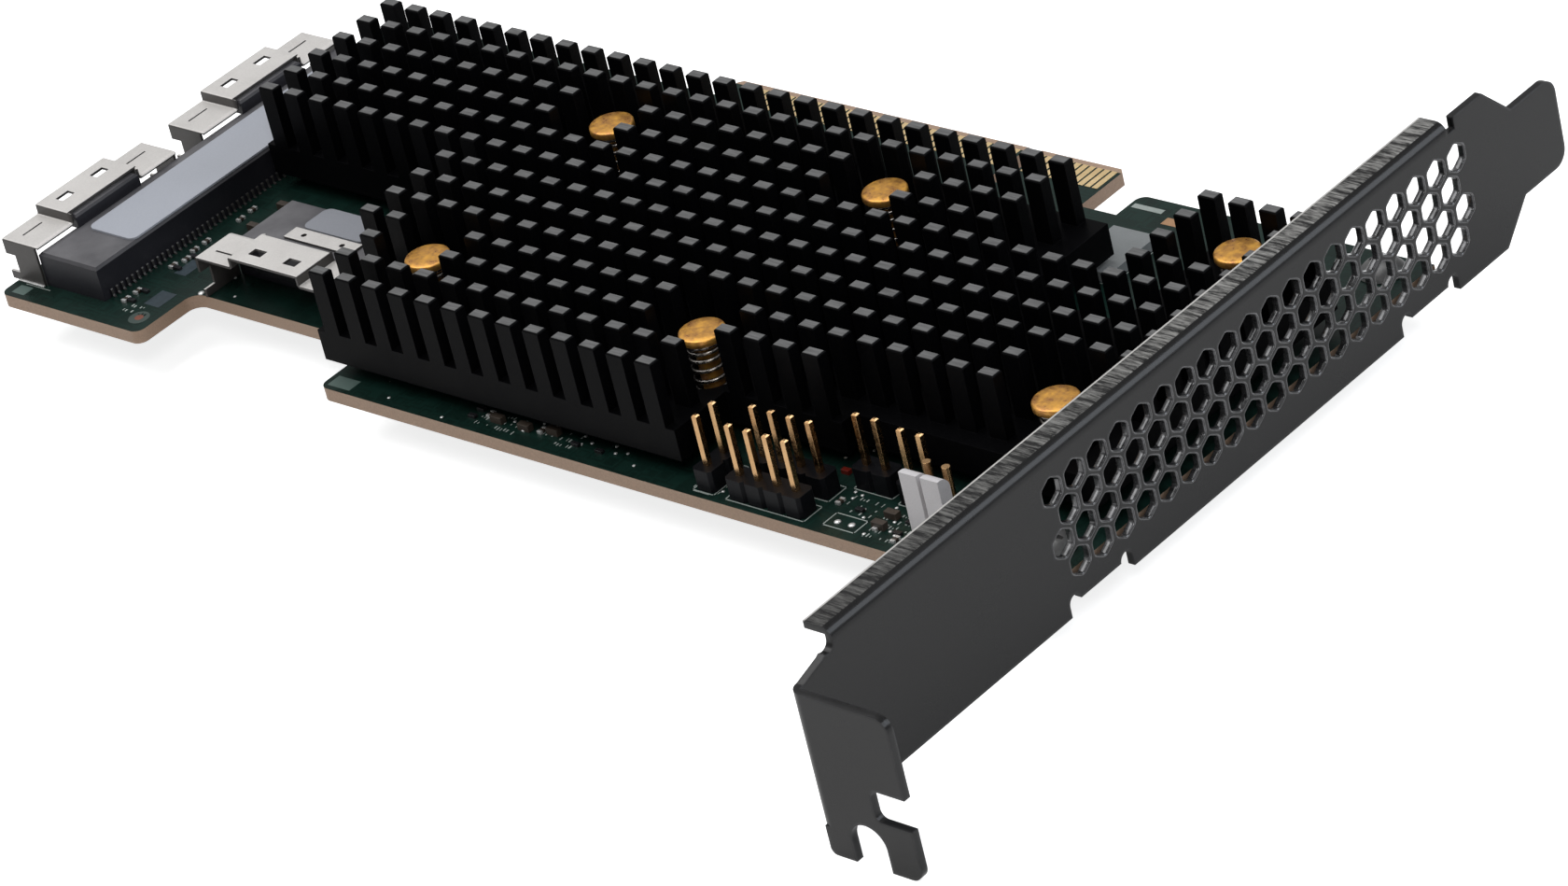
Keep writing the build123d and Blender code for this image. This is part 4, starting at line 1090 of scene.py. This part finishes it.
@dataclass
class HoleRims:
    """Rolled rims of the punched hexagonal holes in the bracket."""

    flats: float = 2.9
    corner: float = 0.6
    pitch: float = 3.478
    step: float = 2.977
    first_y: float = 37.99
    first_drop: float = 4.44
    count: int = 20
    rows: int = 4
    section: tuple[Pair, ...] = (
        (0.16, -0.04), (0.12, 0.006), (0.06, 0.006), (-0.03, -0.03), (-0.09, -0.12), (-0.11, -0.26),
        (-0.11, -0.74), (-0.04, -0.87), (0.14, -0.8))

    def places(self) -> np.ndarray:
        """Middles of the holes: rows of alternating length, a step below each other, centred on one line.

        Returns:
            The places as an array of points.
        """
        row, column = np.meshgrid(np.arange(self.rows), np.arange(self.count), indexing="ij")
        shifted = row % 2
        y = RIM_Y + self.first_y + (column + 0.5 * shifted) * self.pitch
        z = TOP_Z - self.first_drop - row * self.step
        kept = column < self.count - shifted
        return np.column_stack([np.full(kept.sum(), FACE_X), y[kept], z[kept]])

    def build(self) -> None:
        """Make the rims.

        A point is the corner's middle plus (corner radius + offset) times (cos a, sin a), where a fans out
        over 60 degrees at each corner. Offset and height come from the section, which closes on itself inside
        the sheet.
        """
        turn = np.radians(90 + 60 * np.arange(6))[:, None]
        fan = turn + np.radians(np.linspace(-30, 30, 4))[None]
        reach = (self.flats / 2 - self.corner) / np.cos(np.radians(30))
        section = np.array(self.section)
        radius = self.corner + section[:, 0, None, None]
        y = reach * np.cos(turn) + radius * np.cos(fan)
        z = reach * np.sin(turn) + radius * np.sin(fan)
        x = np.broadcast_to(section[:, 1, None, None], y.shape)
        rings = np.stack([x, y, z], axis=-1).reshape(len(section), -1, 3)
        piece("hole_rims", rings, self.places(), PUNCHED, smooth=True, closed=True)


@dataclass
class BoardDetail:
    """Printed lines, solder and very small parts on the board's component side."""

    ink: float = 0.012
    ink_width: float = 0.15
    frames: tuple[Box, ...] = (
        (32.6, 35.25, 43.4, 38.3), (32.6, 39.1, 43.4, 42.1), (26.6, 42.1, 31.9, 45.1),
        (20.3, 41.6, 25.6, 44.6), (44.9, 35.3, 47.9, 41.0), (26.3, 35.7, 30.6, 38.1),
        (31.2, 83.2, 37.7, 92.0))
    bars: tuple[Box, ...] = ((35.4, 96.9, 39.5, 97.7), (45.5, 35.2, 47.7, 35.3), (147.4, 37.1, 151.4, 37.22))
    pale: tuple[Box, ...] = ((97.6, 35.1, 100.9, 37.0), (149.8, 35.2, 151.8, 36.8))
    slate: tuple[Box, ...] = ((131.9, 39.4, 134.3, 42.3), (134.0, 45.6, 135.8, 48.6))
    copper: tuple[Box, ...] = ((31.8, 95.3, 34.2, 96.6),)
    lens: tuple[Box, ...] = ((33.9, 43.8, 34.9, 44.4),)
    dots: tuple[Pair, ...] = (
        (65.8, 38.6), (65.2, 37.2), (64.2, 37.8), (61.2, 38.4), (60.4, 37.3), (59.1, 37.8), (56.9, 36.3),
        (71.9, 38.7), (70.1, 38.8), (75.3, 37.7), (31.2, 41.7), (30.1, 41.5), (30.7, 40.7), (44.5, 36.3),
        (28.2, 39.6), (27.3, 38.4), (25.2, 41.1), (23.7, 39.0), (22.1, 37.1), (25.3, 36.1), (23.0, 37.5),
        (34.5, 48.5), (36.5, 46.3), (92.2, 35.8), (83.7, 35.2), (124.9, 44.6), (127.9, 47.6))
    mounds: tuple[Pair, ...] = ((77.2, 37.1), (73.1, 36.9), (27.5, 36.8), (29.3, 36.7), (129.3, 43.6))
    small_parts: tuple[Pair, ...] = (
        (136.8, 39.1), (136.8, 40.9), (136.9, 46.6), (136.4, 48.2), (137.0, 50.1), (137.0, 52.0),
        (136.7, 57.2), (136.9, 59.3), (24.6, 37.4), (21.4, 36.4), (31.4, 39.6), (48.6, 38.2), (78.6, 37.6),
        (71.0, 37.4))
    small_half: Pair = (0.28, 0.5)
    end_half: Pair = (0.29, 0.52)
    end_from: float = 0.22
    sighting: Pair = (132.6, 37.0)
    # Zones of small printed marks: x from and to, y from and to
    mark_zones: tuple[Box, ...] = (
        (20.6, 25.4, 36.0, 41.0), (26.8, 31.0, 38.8, 41.4), (44.7, 48.4, 36.0, 37.2),
        (66.0, 71.0, 36.2, 38.4), (74.0, 79.5, 36.0, 38.6), (20.8, 25.2, 90.0, 96.0),
        (131.9, 136.0, 37.6, 39.0))
    mark_pitch: Pair = (0.42, 1.05)
    mark_share: float = 0.55
    mark_half_x: Pair = (0.05, 0.12)
    mark_half_y: Pair = (0.1, 0.3)
    mark_shift: float = 0.1
    seed: int = 7

    def flat(self, name: str, boxes: list[Box], height: float, finish: Finish, slot: str) -> None:
        """Make flat rectangles on the board.

        Args:
            name: the piece's name.
            boxes: each rectangle's two corners, measured from the face and the rim.
            height: their thickness.
            finish: their finish.
            slot: not used.
        """
        low, high = np.hsplit(np.array(boxes), 2)
        rings = np.zeros((len(boxes), 2, 4, 3))
        rings[..., :2] = (SQUARE * np.abs(high - low)[:, None] / 2)[:, None]
        rings[:, 1, :, 2] = height
        piece(name, rings, on_card((low + high) / 2), finish)

    def frame_lines(self, a: float, b: float, c: float, d: float) -> list[Box]:
        """Four thin rectangles round a box."""
        w = self.ink_width
        return [(a, b, c, b + w), (a, d - w, c, d), (a, b, a + w, d), (c - w, b, c, d)]

    def marks(self) -> list[Box]:
        """Small marks on a grid in each zone, of which some are left out; their sizes and shifts are random.

        Returns:
            The marks' corners.
        """
        rng = np.random.default_rng(self.seed)
        found = []
        for x0, x1, y0, y1 in self.mark_zones:
            x, y = np.meshgrid(np.arange(x0, x1, self.mark_pitch[0]), np.arange(y0, y1, self.mark_pitch[1]))
            x, y = x.ravel(), y.ravel()
            kept = rng.random(len(x)) < self.mark_share
            half_x = rng.uniform(*self.mark_half_x, len(x))[kept]
            half_y = rng.uniform(*self.mark_half_y, len(x))[kept]
            x, y = x[kept], y[kept] + rng.uniform(-self.mark_shift, self.mark_shift, kept.sum())
            found += np.column_stack([x - half_x, y - half_y, x + half_x, y + half_y]).tolist()
        return found

    def build(self) -> None:
        """Make the printed lines, the pads, the solder dots and the small parts."""
        lines = [line for box in self.frames for line in self.frame_lines(*box)] + list(self.bars)
        (half_x, half_y), (end_x, end_y) = self.small_half, self.end_half
        small = [(x - half_x, y - half_y, x + half_x, y + half_y) for x, y in self.small_parts]
        ends = [(x - end_x, y + low, x + end_x, y + high) for x, y in self.small_parts
                for low, high in ((-end_y, -self.end_from), (self.end_from, end_y))]
        for name, boxes, height, finish, slot in (
                ("silk_lines", lines, self.ink, SILK, "solder_mask"),
                ("pale_patches", self.pale, 0.006, PALE_PATCH, "solder_mask"),
                ("slate_patches", self.slate, 0.02, SLATE_PATCH, "solder_mask"),
                ("bare_patch", self.copper, 0.01, COPPER, "gold"),
                ("lamp_lens", self.lens, 0.5, RED_LENS, "resistor_film"),
                ("part_marks", self.marks(), self.ink, SILK, "solder_mask"),
                ("tiny_parts", small, 0.32, CERAMIC, "resistor_film"),
                ("tiny_part_ends", ends, 0.35, SOLDER, "tin_plate")):
            self.flat(name, boxes, height, finish, slot)
        dome = np.array([(1.0, 0.0), (0.85, 0.28), (0.5, 0.46), (0.05, 0.5)])
        for name, size, middles in (("solder_dots", 0.22, self.dots), ("solder_mounds", 0.42, self.mounds)):
            piece(name, turned(dome * size, 12), on_card(middles), SOLDER, smooth=True)
        ring = np.array([(1.25, 0.0), (1.25, self.ink), (0.7, self.ink), (0.02, self.ink)])
        piece("sighting_mark", turned(ring, 32), on_card(self.sighting), MARK_RING)
        piece("sighting_centre", turned(ring * 0.42, 32), on_card(self.sighting, 0.01), MARK_CENTRE)


@dataclass(frozen=True)
class Lamp:
    """A square soft lamp: its name, place and side in metres, power in watts and tint."""

    name: str
    at: Triple
    size: float
    watts: float
    tint: Triple = (1.0, 1.0, 1.0)


@dataclass
class Studio:
    """Pale floor, soft lamps and the camera of the photograph."""

    width: float = 1680.0
    focal: float = 6901.55
    sensor: float = 36.0
    floor_gap: float = 0.00002
    floor_half: float = 3.0
    floor_seen: float = 0.8
    floor_mirrored: float = 0.3
    sky_mirrored: float = 0.5
    sky_light: float = 0.18
    right: Triple = (0.7364164945, 0.6435627706, -0.2086089810)
    down: Triple = (0.2072735399, -0.5081513166, -0.8359544958)
    forward: Triple = (-0.6439941198, 0.5723715574, -0.5076045449)
    shift: Triple = (3.2785446, 32.5563183, 598.1080618)
    middle: Triple = (-0.07, 0.06, 0.0)
    lamps: tuple[Lamp, ...] = (
        Lamp("top_lamp", (-0.35, 0.0, 0.85), 0.85, 5.4),
        Lamp("side_lamp", (0.54, 0.6, 0.47), 0.5, 2.6, (0.86, 0.92, 1.0)),
        Lamp("left_lamp", (-0.6, -0.3, 0.5), 0.4, 0.4),
        Lamp("front_lamp", (0.42, -0.36, 0.62), 0.22, 1.3))

    def camera(self) -> None:
        """Set the camera: its axes are the fitted rows, its place minus their transpose times the shift."""
        rows = np.array([self.right, self.down, self.forward])
        place = -rows.T @ np.array(self.shift) + np.array([FACE_X, RIM_Y, BOARD_Z])
        lens = bpy.data.cameras.new("camera")
        lens.sensor_width = self.sensor
        lens.lens = self.focal / self.width * self.sensor
        lens.clip_start = 0.01
        lens.clip_end = 20.0
        made = put("camera", lens)
        turn = Matrix((rows[0], -rows[1], -rows[2])).transposed().to_4x4()
        made.matrix_world = Matrix.Translation((place * MM).tolist()) @ turn
        bpy.context.scene.camera = made

    def lamp(self, lamp: Lamp) -> None:
        """Put up a lamp that faces the middle of the part: its local Z axis points back from there.

        Args:
            lamp: its name, place, size, power and tint.
        """
        light = bpy.data.lights.new(lamp.name, "AREA")
        light.size = lamp.size
        light.energy = lamp.watts
        light.color = lamp.tint
        ahead = np.array(self.middle) - np.array(lamp.at)
        back = -ahead / np.linalg.norm(ahead)
        side = np.cross((0.0, 1.0, 0.001), back)
        side /= np.linalg.norm(side)
        turn = Matrix((side, np.cross(back, side), back)).transposed().to_4x4()
        put(lamp.name, light).matrix_world = Matrix.Translation(lamp.at) @ turn

    def floor(self) -> None:
        """Lay a wide pale floor at the height that the part lies on."""
        low = CAD_BOX[0].z - self.floor_gap
        mesh = bpy.data.meshes.new("floor")
        mesh.from_pydata([(x, y, low) for x, y in (SQUARE * self.floor_half).tolist()], [], [(0, 1, 2, 3)])
        made = put("floor", mesh)
        skin = bpy.data.materials.new("pale_floor")
        skin.use_nodes = True
        graph = Graph(skin.node_tree)
        graph.tree.nodes.clear()
        path = graph.add("LightPath").outputs
        seen = graph.times(path["Is Camera Ray"], self.floor_seen)
        mirrored = graph.times(path["Is Glossy Ray"], self.floor_mirrored)
        matt = graph.add("BsdfDiffuse", in_Color=(0.8, 0.8, 0.8))
        glow = graph.add("Emission", in_Strength=graph.maths("MAXIMUM", seen, mirrored))
        both = graph.add("AddShader", matt.outputs[0], glow.outputs[0])
        graph.add("OutputMaterial", in_Surface=both.outputs[0])
        made.data.materials.append(skin)

    def world(self) -> None:
        """Make a world that is white where it is seen and dimmer as a light."""
        made = bpy.data.worlds.new("studio")
        bpy.context.scene.world = made
        made.use_nodes = True
        graph = Graph(made.node_tree)
        graph.tree.nodes.clear()
        path = graph.add("LightPath").outputs
        mirrored = graph.times(path["Is Glossy Ray"], self.sky_mirrored)
        seen = graph.maths("MAXIMUM", path["Is Camera Ray"], mirrored)
        sky = graph.add("Background", in_Strength=graph.maths("MAXIMUM", seen, self.sky_light))
        graph.add("OutputWorld", in_Surface=sky.outputs[0])

    def build(self) -> None:
        """Make the whole studio."""
        self.camera()
        self.floor()
        self.world()
        for lamp in self.lamps:
            self.lamp(lamp)
        bpy.context.scene.view_settings.view_transform = "Standard"


def dress_nodes() -> None:
    """Give every shown CAD node its finish."""
    for name, finish in NODE_FINISHES.items():
        for place in NODES[name].material_slots:
            place.material = finish.material()
        LOG.info("%s wears %s", name, finish.name)


def main() -> None:
    """Build the classes in order."""
    logging.basicConfig(level=logging.INFO, format="%(message)s")
    Studio().build()
    dress_nodes()
    pins = PushPins()
    HeatSink().build(np.array(pins.spots))
    pins.build()
    BoardScrews().build()
    HoleRims().build()
    CablePorts().build()
    BoardDetail().build()


if __name__ == "__main__":
    main()
